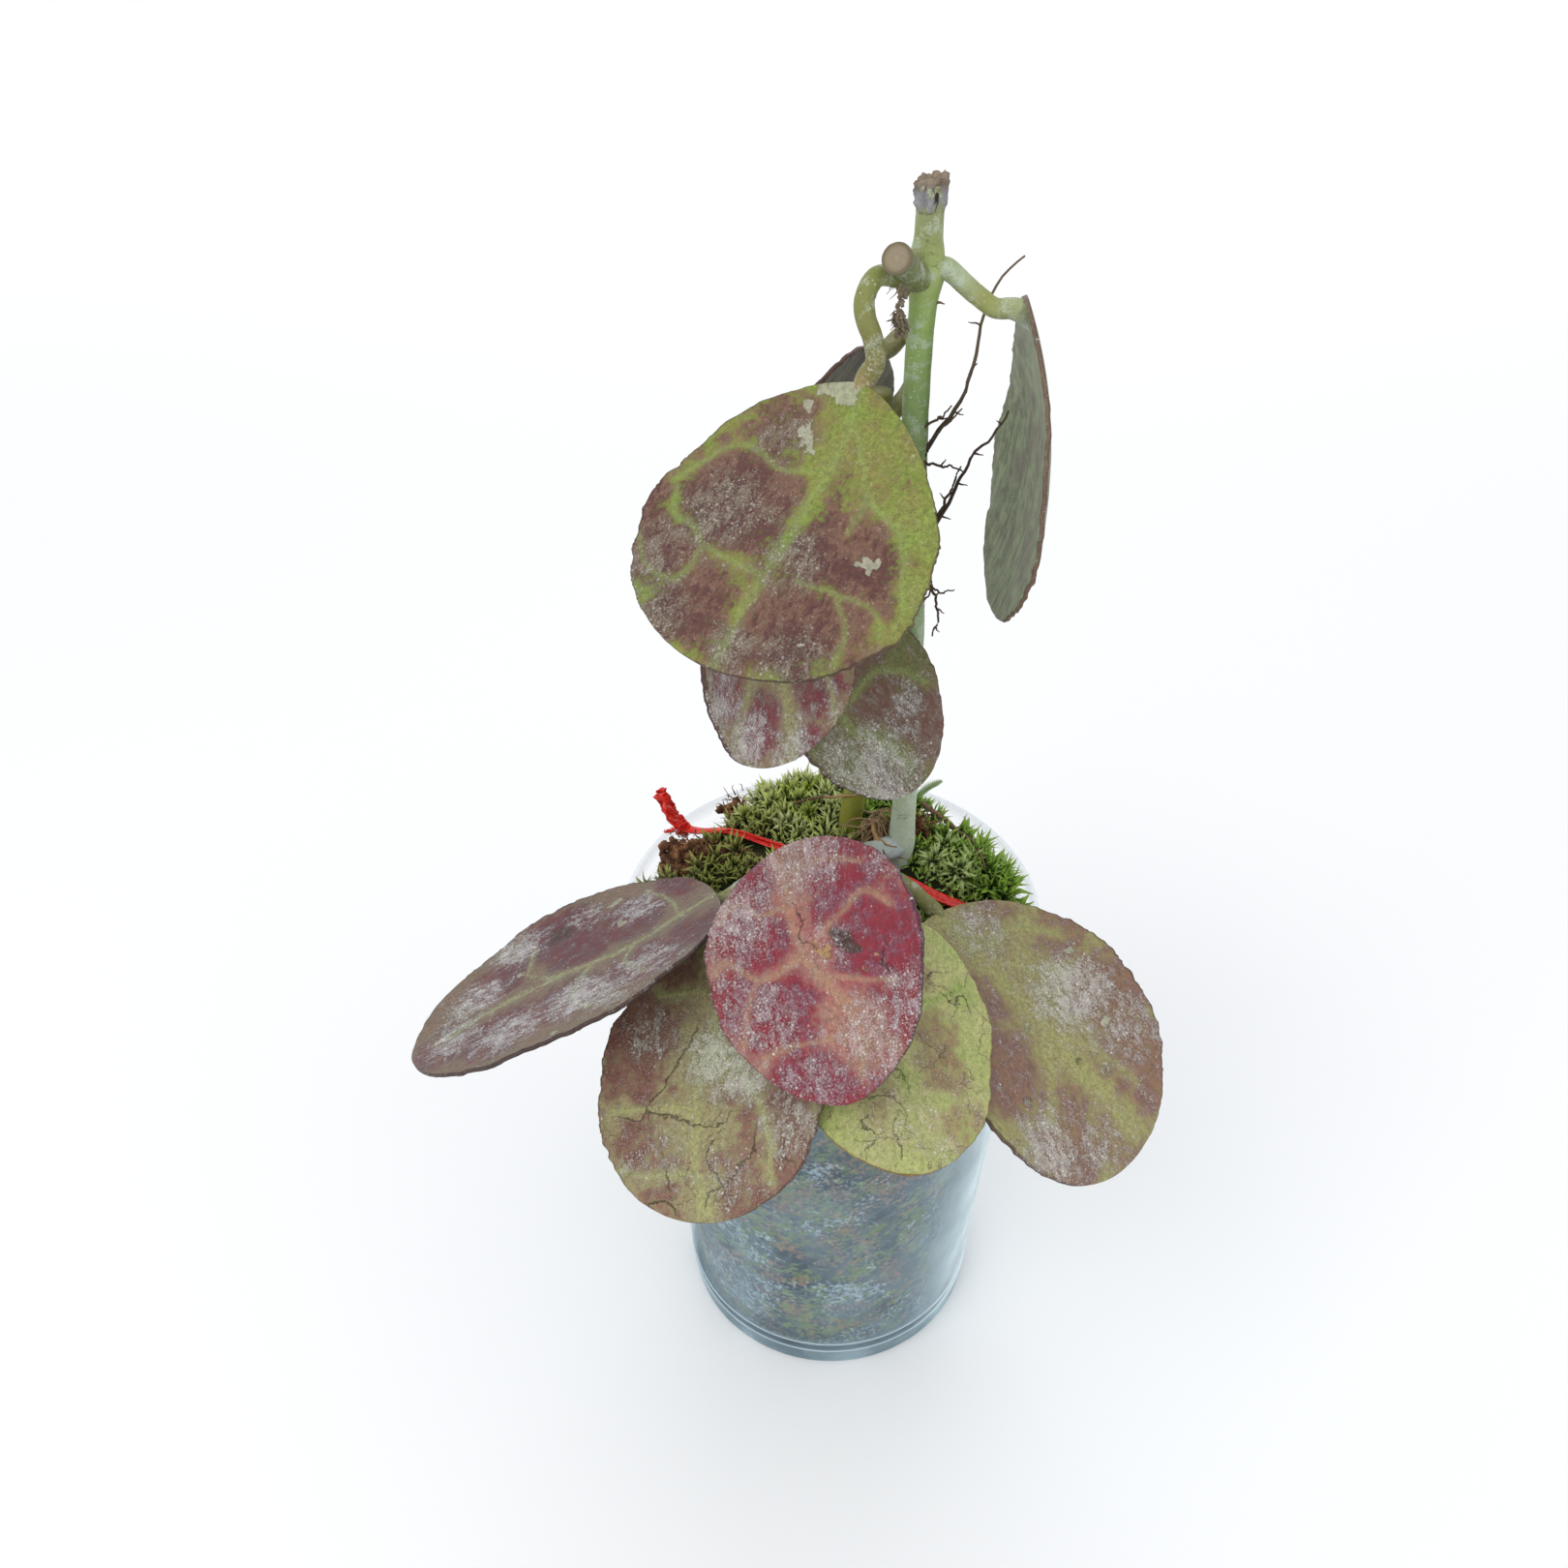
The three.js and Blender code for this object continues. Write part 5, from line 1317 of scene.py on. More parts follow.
# a root's way, and its radius at its start and at its end
AERIAL_ROOTS = [
    ([(15, 4.4, 236), (17.2, 4.6, 239.6), (20, 4.9, 244.5), (22.9, 5.2, 248.2), (24.8, 6.2, 253.6),
      (26, 7.4, 259.8), (27.6, 9, 266), (30.4, 10.5, 270), (33.8, 12, 272.6)], 0.5, 0.2),
    ([(16.4, 3.8, 238.2), (18.4, 3.6, 242.6), (20.5, 3.4, 245.2), (23.4, 3.2, 248.6)], 0.36, 0.14),
    ([(14.5, 4.4, 218), (17.2, 4.2, 221.6), (19.8, 4, 224.8), (22.9, 4, 231.2), (24.4, 4, 235.6),
      (26.3, 4, 239.3), (28.8, 4, 242.1), (30.9, 4, 244.9), (31.9, 4, 247.6)], 0.5, 0.2),
    ([(18.8, 4, 223.6), (21.3, 3.4, 230), (22.8, 3, 234.4), (23.8, 3, 237.4)], 0.42, 0.16),
    ([(15, 4.2, 244.4), (17.4, 3, 245.6), (19.4, 2.8, 247), (21.4, 2.8, 249.4)], 0.36, 0.14),
    ([(15.2, 4, 239.6), (17.6, 3, 237.9), (20.2, 2.9, 237.5), (22.7, 2.8, 237.2),
      (24.2, 2.8, 236.4)], 0.36, 0.14),
    ([(14.6, 4.6, 213.4), (16.3, 4, 213), (19, 4, 211.9), (20.6, 4, 208.4), (21.3, 4, 204),
      (20.4, 4, 199.8)], 0.4, 0.18),
    ([(19.2, 4, 211.6), (21.6, 3.8, 210.2), (24.2, 3.6, 210.8)], 0.28, 0.12),
    ([(15.2, 4.2, 206), (17.4, 3.6, 207.4), (19.6, 3.4, 211), (19.3, 3.4, 214)], 0.3, 0.12),
    ([(15, 4.4, 198), (17.2, 3.8, 201.6), (18, 3.8, 198.6)], 0.36, 0.14),
]
# where a spur starts on a root, and its way from there
ROOT_SPURS = [
    ((26.4, 7.8, 262), (-2.4, -0.6, 0.9)), ((27.3, 8.8, 265.4), (1.6, 0.3, -0.8)),
    ((22, 5, 247.2), (1.9, -0.4, -0.5)), ((24.9, 6.4, 254.4), (1.2, 0.2, 1.2)),
    ((23.6, 4, 233.4), (1.8, -0.3, -0.3)), ((26.3, 4, 239.3), (1.7, 0.2, -0.4)),
    ((20.8, 4, 226.6), (1.9, 0, -0.6)), ((21.4, 3.4, 230.4), (-1.2, 0, 1.4)),
    ((30.9, 4, 245), (-1.1, 0, 0.7)), ((20, 3, 237.5), (0.9, -0.5, 1.6)),
    ((21, 4, 206.2), (1.5, -0.3, -0.9)), ((20.6, 4, 202), (1.2, 0, -1.3)),
    ((19.2, 3.4, 246.6), (1.9, 0, 0.2)), ((17.6, 4.1, 222), (1.7, -0.8, 0.1)),
    ((20.4, 4, 209.4), (1.3, 0.4, 0.2)),
]
root_strands = [wiry(course, start, end, 0.24, 60 + number)
                for number, (course, start, end) in enumerate(AERIAL_ROOTS)]
for number, (place, way) in enumerate(ROOT_SPURS):
    spur = [place, np.add(place, np.multiply(way, 0.5)), np.add(place, way)]
    root_strands.append(wiry(spur, 0.24, 0.08, 0.12, 90 + number, 9))
leaf_scar = [(16.6, 4.2, 267.4), (18.4, 3.8, 267.7), (19.3, 3.6, 267.5)]
root_strands.append(wiry(leaf_scar, 0.5, 0.1, 0.03, 120, 9))
root_shape, root_faces = grown(root_strands)
root_tint = tints((195, (84, 70, 56)), (240, (66, 52, 40)), (262, (112, 98, 76)), (275, (104, 88, 70)))
make_grown("aerial_roots", root_shape, root_faces, root_tint(root_shape[:, 2]), "dry_root",
           "stem_main", mottle=0.35, mottle_size=0.8, roughness=0.85)

# centre, spread, axis, length, count, thickness, seed, curl
FIBRE_TUFTS = [
    ((11.8, 1.4, 273.6), 0.7, (0.2, 0, -1), 3.4, 60, 0.2, 300, 0.7),
    ((11.5, 0.8, 266.8), 0.4, (0.1, 0, -1), 2.8, 40, 0.22, 400, 0.6),
    ((12.4, 0.4, 276), 0.5, (0.8, -0.3, 0.5), 3, 18, 0.18, 500, 0.9),
    ((10.6, 6.5, 149), 1.3, (0, -0.1, -1), 9, 90, 0.28, 600, 0.45),
    ((10.4, 7.5, 140), 1.6, (0, -0.3, -0.6), 5, 60, 0.26, 700, 0.9),
]
# centre, spread, count, sizes, seed
FIBRE_CRUMBS = [
    ((11.8, 1.4, 271.6), (0.5, 0.5, 1.1), 26, (0.3, 0.7), 68),
    ((11.4, 0.8, 265.4), (0.35, 0.4, 1.3), 26, (0.3, 0.7), 69),
]


def scattered(crumb_rows, tuft_rows, crumbs_first):
    """The crumbs and the tufts of two tables, as one mesh."""
    lumps = [lump for row in crumb_rows for lump in crumbs(*row)]
    strands = [strand for row in tuft_rows for strand in tuft(*row)]
    return grown(lumps + strands if crumbs_first else strands + lumps)


fibre_shape, fibre_faces = scattered(FIBRE_CRUMBS, FIBRE_TUFTS, crumbs_first=False)
fibre_shade = rough_noise(fibre_shape[:, 0] * 4 + 90, fibre_shape[:, 2] * 4, 2, 70) - 0.5
fibre_tint = tints((130, (96, 72, 52)), (150, (148, 122, 92)), (262, (116, 104, 88)),
                   (270, (140, 126, 106)), (278, (164, 150, 128)))
make_grown("dry_fibres", fibre_shape, fibre_faces, fibre_tint(fibre_shape[:, 2] + 9 * fibre_shade),
           "dry_fibre", "stem_main", mottle=0.4, mottle_size=0.7, roughness=0.9)

# %% [markdown]
# ## The moss mound
#
# The stems stand in a mound of star moss. From above each shoot is a star of narrow,
# pointed, curved leaflets. The ground under them is a bumpy dome, painted dark green as the
# shade between the shoots, and brown under the dry patches.
# Each leaflet is a sliver with three sides and only a few faces, all of them are worked
# out in one array, and every shoot has its own place, lean, size and colour.

# %% Moss bed
MOSS_FOOT = SUBSTRATE_TOP + 0.3
MOSS_EDGE_TOP = 127.0
MOSS_DOME = 12.0
MOSS_FRONT_DROP = 5.5
MOSS_REACH = np.array([
    41, 38, 35.5, 36, 39, 42, 43, 41.5, 37, 34.5, 37, 41,
    44.2, 44.4, 44.4, 44.4, 44.4, 44.4, 44.4, 44.4, 44.4, 44.4, 44.4, 43.5])
TIE_COURSE_PLAN = [
    (-34.5, 24.3), (-31, 22.5), (-22.5, 16.6), (-12.5, 9.6), (0, 3.4), (10, 0.2), (16, -1.3),
    (22.8, -4.6), (29.4, -7.3), (36, -9.6), (40.2, -11)]
TWIG_PLAN = [(22.5, 23.5), (26.5, 19), (30, 14), (33, 8.5)]
# the middle and the half widths of each dry patch
BROWN_PATCHES = [
    (-34, 16, 7, 6), (-28, 10, 6, 5), (-35, 8, 7, 6), (-17, 6, 3, 3), (-36, 21, 4, 4),
    (-21, 29, 4, 3), (21, 14, 4, 5), (10, 8, 5, 5)]
BED_RINGS, BED_SIDES = 60, 180


def moss_reach(angle):
    """How far the moss reaches at an angle, straight between values each 15 degrees."""
    turn = (np.asarray(angle) / (2 * np.pi)) % 1 * len(MOSS_REACH)
    low = np.floor(turn).astype(int) % len(MOSS_REACH)
    part = turn - np.floor(turn)
    return MOSS_REACH[low] * (1 - part) + MOSS_REACH[(low + 1) % len(MOSS_REACH)] * part


def moss_top(x, y):
    """A flat-topped dome, lower in front, with gentle lumps, pressed down under the tie and
    the twig."""
    share = np.minimum(1, np.hypot(x, y) / moss_reach(np.arctan2(y, x)))
    dome = MOSS_DOME - MOSS_FRONT_DROP * smooth(3, -12, y)
    height = MOSS_EDGE_TOP + dome * np.sqrt(1 - share ** 6)
    lumps = 0.8 * np.sin(0.5 * x + 1) * np.sin(0.46 * y + 2) + 0.4 * np.sin(0.9 * x - 0.7 * y)
    nearest = np.minimum(*(distance_to_line(x, y, plan) for plan in (TIE_COURSE_PLAN, TWIG_PLAN)))
    free = smooth(2, 7, nearest)
    return height + lumps * free * (1 - share ** 4) - 0.4 * (1 - free)


def brown_share(x, y):
    """Where the moss is dry and brown: in soft ovals, with edges broken by noise."""
    noise = rough_noise(np.asarray(x) + 60, np.asarray(y) + 60, 5, 77) - 0.5
    total = np.zeros(np.shape(x))
    for px, py, rx, ry in BROWN_PATCHES:
        reach = np.hypot((x - px) / rx, (y - py) / ry) + noise * 0.8
        total = np.maximum(total, 1 - smooth(0.6, 1.25, reach))
    return total


bed_turn = around(BED_SIDES)
bed_share = np.sin(np.pi / 2 * np.linspace(0.004, 1, BED_RINGS))[:, None]
bed_x, bed_y = (bed_share * moss_reach(bed_turn) * trig(bed_turn) for trig in (np.cos, np.sin))
bed_bumps = 1.1 * (rough_noise(bed_x + 50, bed_y + 50, 3, 21) - 0.5)
bed_z = moss_top(bed_x, bed_y) + bed_bumps * (1 - bed_share ** 8)
bed_z[-1] = MOSS_EDGE_TOP
bed_foot = np.stack([bed_x[-1:], bed_y[-1:], np.full((1, BED_SIDES), MOSS_FOOT)], axis=-1)
bed_rings = np.concatenate([np.stack([bed_x, bed_y, bed_z], axis=-1), bed_foot])
bed_points = bed_rings.reshape(-1, 3)[::-1]
# Painted shade: the bed is dark green, the shade deep between the shoots; under the dry patches it is
# brown, the moss's own colour.
bed_shade_and_dry_tint = tints((0, (36, 44, 18)), (1, (74, 50, 32)))(brown_share(bed_points[:, 0], bed_points[:, 1]))
make_grown("moss_shade_bed", bed_points, ring_faces(BED_RINGS + 1, BED_SIDES), bed_shade_and_dry_tint, "moss_ground_shade",
           "moss", ["moss_mound"], mottle=0.6, mottle_size=1.4, roughness=0.95, depth=0.6)

# %% Star shoots


def leaflets(start, way, out, length, width, droop):
    """A three-sided sliver for every leaflet: a ring of three points at its foot, a wider
    ring of three half way, lifted, and one point at its tip, lowered by the droop. All the
    arguments hold one row per leaflet."""
    side = unit(np.cross(way, out))
    up = np.cross(side, way)
    length, width, droop = length[:, None], width[:, None], droop[:, None]
    middle = start + way * length * 0.5 + up * length * 0.08
    tip = start + way * length - up * length * droop
    foot = [start + side * width * 0.32, start - side * width * 0.32, start - up * width * 0.25]
    half = [middle + side * width * 0.5, middle - side * width * 0.5, middle - up * width * 0.3]
    points = np.stack([*foot, *half, tip], axis=1)
    corners = np.array([[0, 1, 4, 3], [1, 2, 5, 4], [2, 0, 3, 5]])
    tips = np.array([[3, 4, 6], [4, 5, 6], [5, 3, 6]])
    base = (np.arange(len(start)) * 7)[:, None, None]
    faces = (corners + base).reshape(-1, 4).tolist() + (tips + base).reshape(-1, 3).tolist()
    faces += (np.array([[2, 1, 0]]) + base).reshape(-1, 3).tolist()
    return points.reshape(-1, 3), faces


def star_shoots(places, axes, sizes, root_tint, tip_tint, per_shoot, seed):
    """Every shoot gets leaflets in turning whorls: the outer ones lie low and the inner
    ones stand up. A leaflet's way is cos(rise) outward + sin(rise) along the shoot."""
    random = np.random.default_rng(seed)
    count = len(places)
    axes = unit(axes)
    side = unit(np.cross(axes, [0.31, 0.87, 0.38]))
    other = np.cross(axes, side)
    turn = 2.4 * np.arange(per_shoot)[None, :] + random.uniform(0, 6.28, (count, 1))
    turn = turn + random.normal(0, 0.15, (count, per_shoot))
    level = (np.arange(per_shoot) / (per_shoot - 1))[None, :]
    rise = np.radians(2 + 64 * level ** 1.2 + random.normal(0, 8, (count, per_shoot)))
    outward = np.cos(turn)[..., None] * side[:, None] + np.sin(turn)[..., None] * other[:, None]
    way = np.cos(rise)[..., None] * outward + np.sin(rise)[..., None] * axes[:, None]
    start = (places[:, None] + axes[:, None] * (level[..., None] * 0.75 - 0.5) * sizes[:, None, None]
             + outward * 0.08 * sizes[:, None, None])
    length = sizes[:, None] * (1.15 - 0.3 * level) * random.uniform(0.8, 1.15, (count, per_shoot))
    width = length * random.uniform(0.18, 0.26, (count, per_shoot))
    droop = 0.3 - 0.42 * level + random.normal(0, 0.08, (count, per_shoot))
    out = np.repeat(axes[:, None], per_shoot, axis=1) + outward * 0.15
    rows = [part.reshape(-1, *part.shape[2:]) for part in (start, way, out, length, width, droop)]
    points, faces = leaflets(*rows)
    # Each leaflet runs from the root colour at its foot to the tip colour; the dark feet are partly the
    # moss's own colour and partly painted shade deep between the shoots, and the lower middle point, on
    # the underside, is painted a little darker as shade.
    share = np.tile([0.0, 0.0, 0.0, 0.55, 0.55, 0.4, 1.0], count * per_shoot)
    by_shoot = np.repeat(np.arange(count), per_shoot * 7)
    tint = root_tint[by_shoot] * (1 - share[:, None]) + tip_tint[by_shoot] * share[:, None]
    return points, faces, tint


def scattered_shoots(spacing, seed, keep):
    """Places on a shaken grid over the mound and in a ring low on its steep edge, those
    that keep() allows. The axis follows the mound's own slope, leaned a little at random."""
    random = np.random.default_rng(seed)
    grid = np.arange(-45, 45, spacing)
    x, y = (part.ravel() for part in np.meshgrid(grid, grid))
    x = x + random.uniform(-0.5, 0.5, len(x)) * spacing
    y = y + random.uniform(-0.5, 0.5, len(y)) * spacing
    rim = np.linspace(0, 2 * np.pi, int(300 / spacing), endpoint=False)
    rim_reach = moss_reach(rim) - 0.8
    low = np.arange(len(x) + len(rim)) >= len(x)
    x, y = np.append(x, rim_reach * np.cos(rim)), np.append(y, rim_reach * np.sin(rim))
    inside = np.hypot(x, y) < moss_reach(np.arctan2(y, x)) - 0.7
    inner_part = np.hypot(x, y) < 0.9 * moss_reach(np.arctan2(y, x))
    clear = (distance_to_line(x, y, TWIG_PLAN) > 2.3) | ~inner_part
    clear &= distance_to_line(x, y, TIE_COURSE_PLAN) > 2.4
    clear &= (np.hypot(x - 16, y - 5) > 3.6) & (np.hypot(x - 5, y - 15) > 4.0)
    kept = inside & clear & keep(x, y, random)
    x, y, low = x[kept], y[kept], low[kept]
    slope_x = (moss_top(x + 0.6, y) - moss_top(x - 0.6, y)) / 1.2
    slope_y = (moss_top(x, y + 0.6) - moss_top(x, y - 0.6)) / 1.2
    axes = np.stack([-0.55 * np.clip(slope_x, -2, 2), -0.55 * np.clip(slope_y, -2, 2),
                     np.ones(len(x))], axis=1)
    axes += random.normal(0, 0.22, axes.shape) * [1, 1, 0.2]
    beside = smooth(6.0, 3.0, distance_to_line(x, y, TIE_COURSE_PLAN))
    heights = moss_top(x, y) + random.uniform(0.2, 1.5, len(x)) * (1 - beside) - 1.1 * beside
    heights = heights + 2.4 * smooth(29, 36, x + 0.5 * y) * (1 - beside)
    heights = np.where(low, random.uniform(124.6, 129.4, len(x)), heights)
    return np.stack([x, y, heights], axis=1), axes, random


def shoot_colours(places, random, roots_and_shade, tips):
    """A root and a tip colour for each shoot, taken along each scale by noise; the dark roots are
    partly painted shade between the shoots.
    """
    mood = rough_noise(places[:, 0] + 70, places[:, 1] + 70, 9, 5) * 1.6 - 0.4
    mood = np.clip(mood + random.normal(0, 0.2, len(places)), 0, 1)
    return tints(*roots_and_shade)(mood), tints(*tips)(mood)


def left_part(x, y, random):
    front = np.where(y < -8, 0.4, 1.0)
    return ((x < 9 - 0.2 * y) & (random.random(len(x)) < front) & (brown_share(x, y) < 0.55)
            & ((x > -37.5) | (y < 3)))


def right_part(x, y, random):
    front = np.where(y < -12, 0.4, 1.0)
    return (x >= 9 - 0.2 * y) & (random.random(len(x)) < front) & (brown_share(x, y) < 0.6)


def brown_part(x, y, random):
    return (brown_share(x, y) >= 0.45) & (random.random(len(x)) < 0.8)


left_places, left_axes, left_random = scattered_shoots(2.75, 31, left_part)
left_sizes = left_random.uniform(3.2, 4.8, len(left_places))
# The roots are dark, partly the moss's own colour and partly painted shade between the shoots.
left_roots_and_shade, left_tips = shoot_colours(
    left_places, left_random, [(0, (70, 90, 24)), (1, (96, 110, 50))],
    [(0, (176, 198, 70)), (0.3, (212, 224, 122)), (1, (240, 244, 184))])
left_x, left_y = left_places[:, :1], left_places[:, 1:2]
left_olive = smooth(-8, -16, left_x) * smooth(25, 20, left_y + 0.4 * left_x + 8)
left_roots_and_shade = left_roots_and_shade * (1 - left_olive) + left_olive * paint(58, 52, 22)
left_tips = left_tips * (1 - left_olive) + left_olive * (
    0.35 * left_tips + 0.65 * np.array(paint(142, 146, 66)))
left_shoots = star_shoots(left_places, left_axes, left_sizes, left_roots_and_shade, left_tips, 16, 32)
make_grown("moss_pale_shoots", *left_shoots, "moss_leaf", "moss",
           mottle=0.2, mottle_size=1.0, roughness=0.8)

right_places, right_axes, right_random = scattered_shoots(2.5, 41, right_part)
right_sizes = right_random.uniform(2.8, 4.2, len(right_places)) + 2.2 * smooth(
    30, 37, right_places[:, 0] + 0.35 * right_places[:, 1])
# The roots are dark, partly the moss's own colour and partly painted shade in the gaps between the
# shoots.
right_roots_and_shade, right_tips = shoot_colours(
    right_places, right_random, [(0, (50, 82, 16)), (1, (64, 94, 28))],
    [(0, (152, 192, 66)), (0.5, (168, 204, 88)), (1, (216, 232, 140))])
right_shoots = star_shoots(right_places, right_axes, right_sizes, right_roots_and_shade, right_tips, 16, 42)

star_spots = np.array([(28.8, -0.2), (26.4, 8.1), (32, 3.5), (23.5, 2.2), (36, 1.0), (30, 9.5)])
star_places = np.column_stack([star_spots, moss_top(star_spots[:, 0], star_spots[:, 1]) + 2.2])
star_axes, star_roots, star_tips = (
    np.tile(row, (len(star_spots), 1))
    for row in ([0.05, -0.35, 1.0], paint(60, 88, 34), paint(208, 228, 150)))
star_sizes = np.linspace(5.0, 4.0, len(star_spots))
stars = star_shoots(star_places, star_axes, star_sizes, star_roots, star_tips, 22, 43)
bright_points, bright_faces = grown([right_shoots[:2], stars[:2]])
make_grown("moss_bright_shoots", bright_points, bright_faces, np.vstack([right_shoots[2], stars[2]]),
           "moss_bright_leaf", "moss", mottle=0.2, mottle_size=1.0, roughness=0.8)

brown_places, brown_axes, brown_random = scattered_shoots(2.3, 51, brown_part)
brown_places[:, 2] -= 0.5
brown_roots, brown_tips = shoot_colours(
    brown_places, brown_random, [(0, (88, 58, 36)), (1, (92, 80, 36))],
    [(0, (140, 100, 64)), (0.4, (168, 132, 86)), (0.6, (150, 144, 66)), (1, (162, 168, 84))])
brown_sizes = brown_random.uniform(1.5, 2.6, len(brown_places))
brown_shoots = star_shoots(brown_places, brown_axes, brown_sizes, brown_roots, brown_tips, 10, 52)
make_grown("moss_dry_shoots", *brown_shoots, "moss_dry_leaf", "moss",
           mottle=0.35, mottle_size=0.8, roughness=0.95)

# %% [markdown]
# ## Litter on the moss
#
# Brown crumbs of peat hang at the left of the mound and behind it. A dark twig and a
# few thin roots lie on the moss, and one feathery seedling leaf stands up behind.

# %% Litter
# centre, spread, count, sizes, seed
LITTER_CRUMBS = [
    ((-35.6, 19.0, 130.6), (1.1, 1.3, 1.5), 46, (0.5, 1.3), 61),
    ((-30.5, 14.5, 134.6), (2.4, 2.0, 0.9), 50, (0.5, 1.3), 62),
    ((-31.5, 9.5, 137.0), (2.4, 2.4, 0.7), 80, (0.5, 1.4), 59),
    ((-37.2, 12, 131.6), (1.0, 2.4, 1.5), 70, (0.5, 1.4), 60),
    ((-19, 7.5, 137.2), (3.5, 1.6, 0.7), 40, (0.4, 1.0), 63),
    ((-21.6, 29, 134.6), (1.4, 1.5, 0.9), 46, (0.4, 1.1), 64),
    ((20.5, 15, 139.6), (1.7, 2.4, 0.9), 40, (0.4, 1.0), 65),
    ((10.5, 7, 141), (1.4, 1.4, 1.8), 40, (0.4, 0.9), 66),
]
# centre, spread, axis, length, count, thickness, seed, curl
LITTER_TUFTS = [
    ((-34.8, 19.6, 131.5), 1.6, (-0.3, -0.2, 0.2), 4, 40, 0.16, 800, 1.2),
    ((-31, 9.5, 137.2), 2.6, (0.2, 0.1, 0.4), 3.4, 60, 0.2, 900, 1.2),
    ((-22, 29.4, 135.4), 1.5, (-0.5, 0, 0.3), 3.4, 36, 0.2, 1000, 1.0),
    ((20.5, 14.5, 140.2), 2.0, (0.2, 0, 0.4), 4, 40, 0.2, 1100, 1.2),
]
litter_shape, litter_faces = scattered(LITTER_CRUMBS, LITTER_TUFTS, crumbs_first=True)
litter_mood = rough_noise(
    litter_shape[:, 0] * 2 + 90, litter_shape[:, 1] * 2 + litter_shape[:, 2] + 90, 2.5, 67)
litter_tint = tints((0.2, (58, 36, 26)), (0.5, (112, 72, 48)), (0.8, (166, 124, 84)))(litter_mood)
make_grown("moss_litter", litter_shape, litter_faces, litter_tint, "peat_crumb", "moss",
           mottle=0.5, mottle_size=0.7, roughness=0.95, depth=0.3)

# %% Twig, thin roots and the seedling leaf


def over_moss(plan, lift):
    """The plan's points, each set a given height above the mound."""
    return [(x, y, float(moss_top(np.array(x, float), np.array(y, float))) + lift) for x, y in plan]


TWIG_LIFT = 5.6
twig_fork = over_moss([(27.5, 17.5), (29.6, 17.4)], TWIG_LIFT)
fork_z = twig_fork[1][2]
# points, start radius, end radius, kink, seed, rows, sides
twig_strands = [wiry(*row) for row in [
    (over_moss(TWIG_PLAN, TWIG_LIFT), 0.6, 0.45, 0.3, 71, 30, 9),
    ([*twig_fork, (31.6, 18, fork_z + 0.2)], 0.5, 0.3, 0.1, 72, 14, 7),
    ([(31, 17.8, fork_z + 0.1), (32.4, 18.8, fork_z + 1), (32.2, 20, fork_z + 1.6)],
     0.26, 0.1, 0.1, 73, 12, 5),
    ([(32.9, 8.9, 141.0), (33.4, 5, 142), (34, 1.6, 142.2), (34.3, -1, 141.6)],
     0.45, 0.2, 0.2, 74, 16, 6)]]
twig_shape, twig_faces = grown(twig_strands)
twig_mood = rough_noise(twig_shape[:, 0] * 3, twig_shape[:, 2] * 3, 2, 75)
twig_tint = tints((0, (78, 56, 42)), (1, (136, 108, 84)))(twig_mood)
make_grown("moss_twig", twig_shape, twig_faces, twig_tint, "twig_bark", "twig", ["twig"],
           mottle=0.4, mottle_size=0.7, roughness=0.85)

thin_strands = [wiry(*row) for row in [
    ([(-7.8, 23.5, 141), (-3, 20.5, 145), (1, 16, 149), (4.8, 12.1, 152.4), (8, 11.8, 153.4)],
     0.32, 0.3, 0.12, 81, 30, 6),
    ([(9.6, 7, 149.6), (9.6, 3, 150), (11.2, -1.4, 147.8), (13.4, -2, 144.2), (15.3, -1.9, 140.5),
      (16.8, -1, 136)], 0.42, 0.28, 0.12, 82, 34, 6),
    ([(10.4, 1.2, 149.2), (12.6, -0.6, 148.4), (14.6, -0.8, 148)], 0.34, 0.16, 0.1, 83, 14, 6)]]
thin_shape, thin_faces = grown(thin_strands)
thin_tint = tints((135, (84, 60, 44)), (147, (98, 72, 52)), (149, (150, 120, 80)),
                  (154, (160, 132, 92)))(thin_shape[:, 2])
make_grown("moss_thin_roots", thin_shape, thin_faces, thin_tint, "thin_root", "stem_main",
           mottle=0.3, mottle_size=0.8, roughness=0.8)

seedling_path = smooth_path(
    [(20.5, 28, 133), (21.2, 27.6, 137.5), (24, 27, 142.2), (27.4, 26.4, 144.8)], 30)
seedling_stalk = tube(seedling_path, np.linspace(0.3, 0.1, 30), 6)
pinna_row = np.repeat(np.arange(9, 29), 2)
pinna_side = np.tile([1.0, -1.0], 20)
pinna_along = unit(np.gradient(seedling_path, axis=0)[pinna_row])
pinna_face = np.array([0.2, -0.9, 0.35])
pinna_out = np.cross(pinna_along, pinna_face) * pinna_side[:, None]
pinna_way = unit(pinna_along * 0.8 + pinna_out * 0.75)
pinna_length = 2.1 * np.sin(np.linspace(0.5, 2.8, 20)).repeat(2)
pinnae = leaflets(seedling_path[pinna_row], pinna_way, np.tile(pinna_face, (40, 1)), pinna_length,
                  np.full(40, 0.34), np.full(40, 0.1))
seedling_shape, seedling_faces = grown([seedling_stalk, pinnae])
seedling_tint = np.tile(paint(182, 206, 156), (len(seedling_shape), 1))
make_grown("seedling_leaf", seedling_shape, seedling_faces, seedling_tint, "seedling_green", "moss",
           mottle=0.2, roughness=0.7)

# %% [markdown]
# ## The raffia tie
#
# A strip of bright red raffia crosses the mound, knotted at both ends, with a folded tail
# at the left. Raffia is a thin film that folds into several shiny parallel strands. Each
# strand is a flat oval carried along the tie's course, a little beside its neighbour,
# twisting slowly, and a knot is a few such strands wound round each other.

# %% Raffia strands


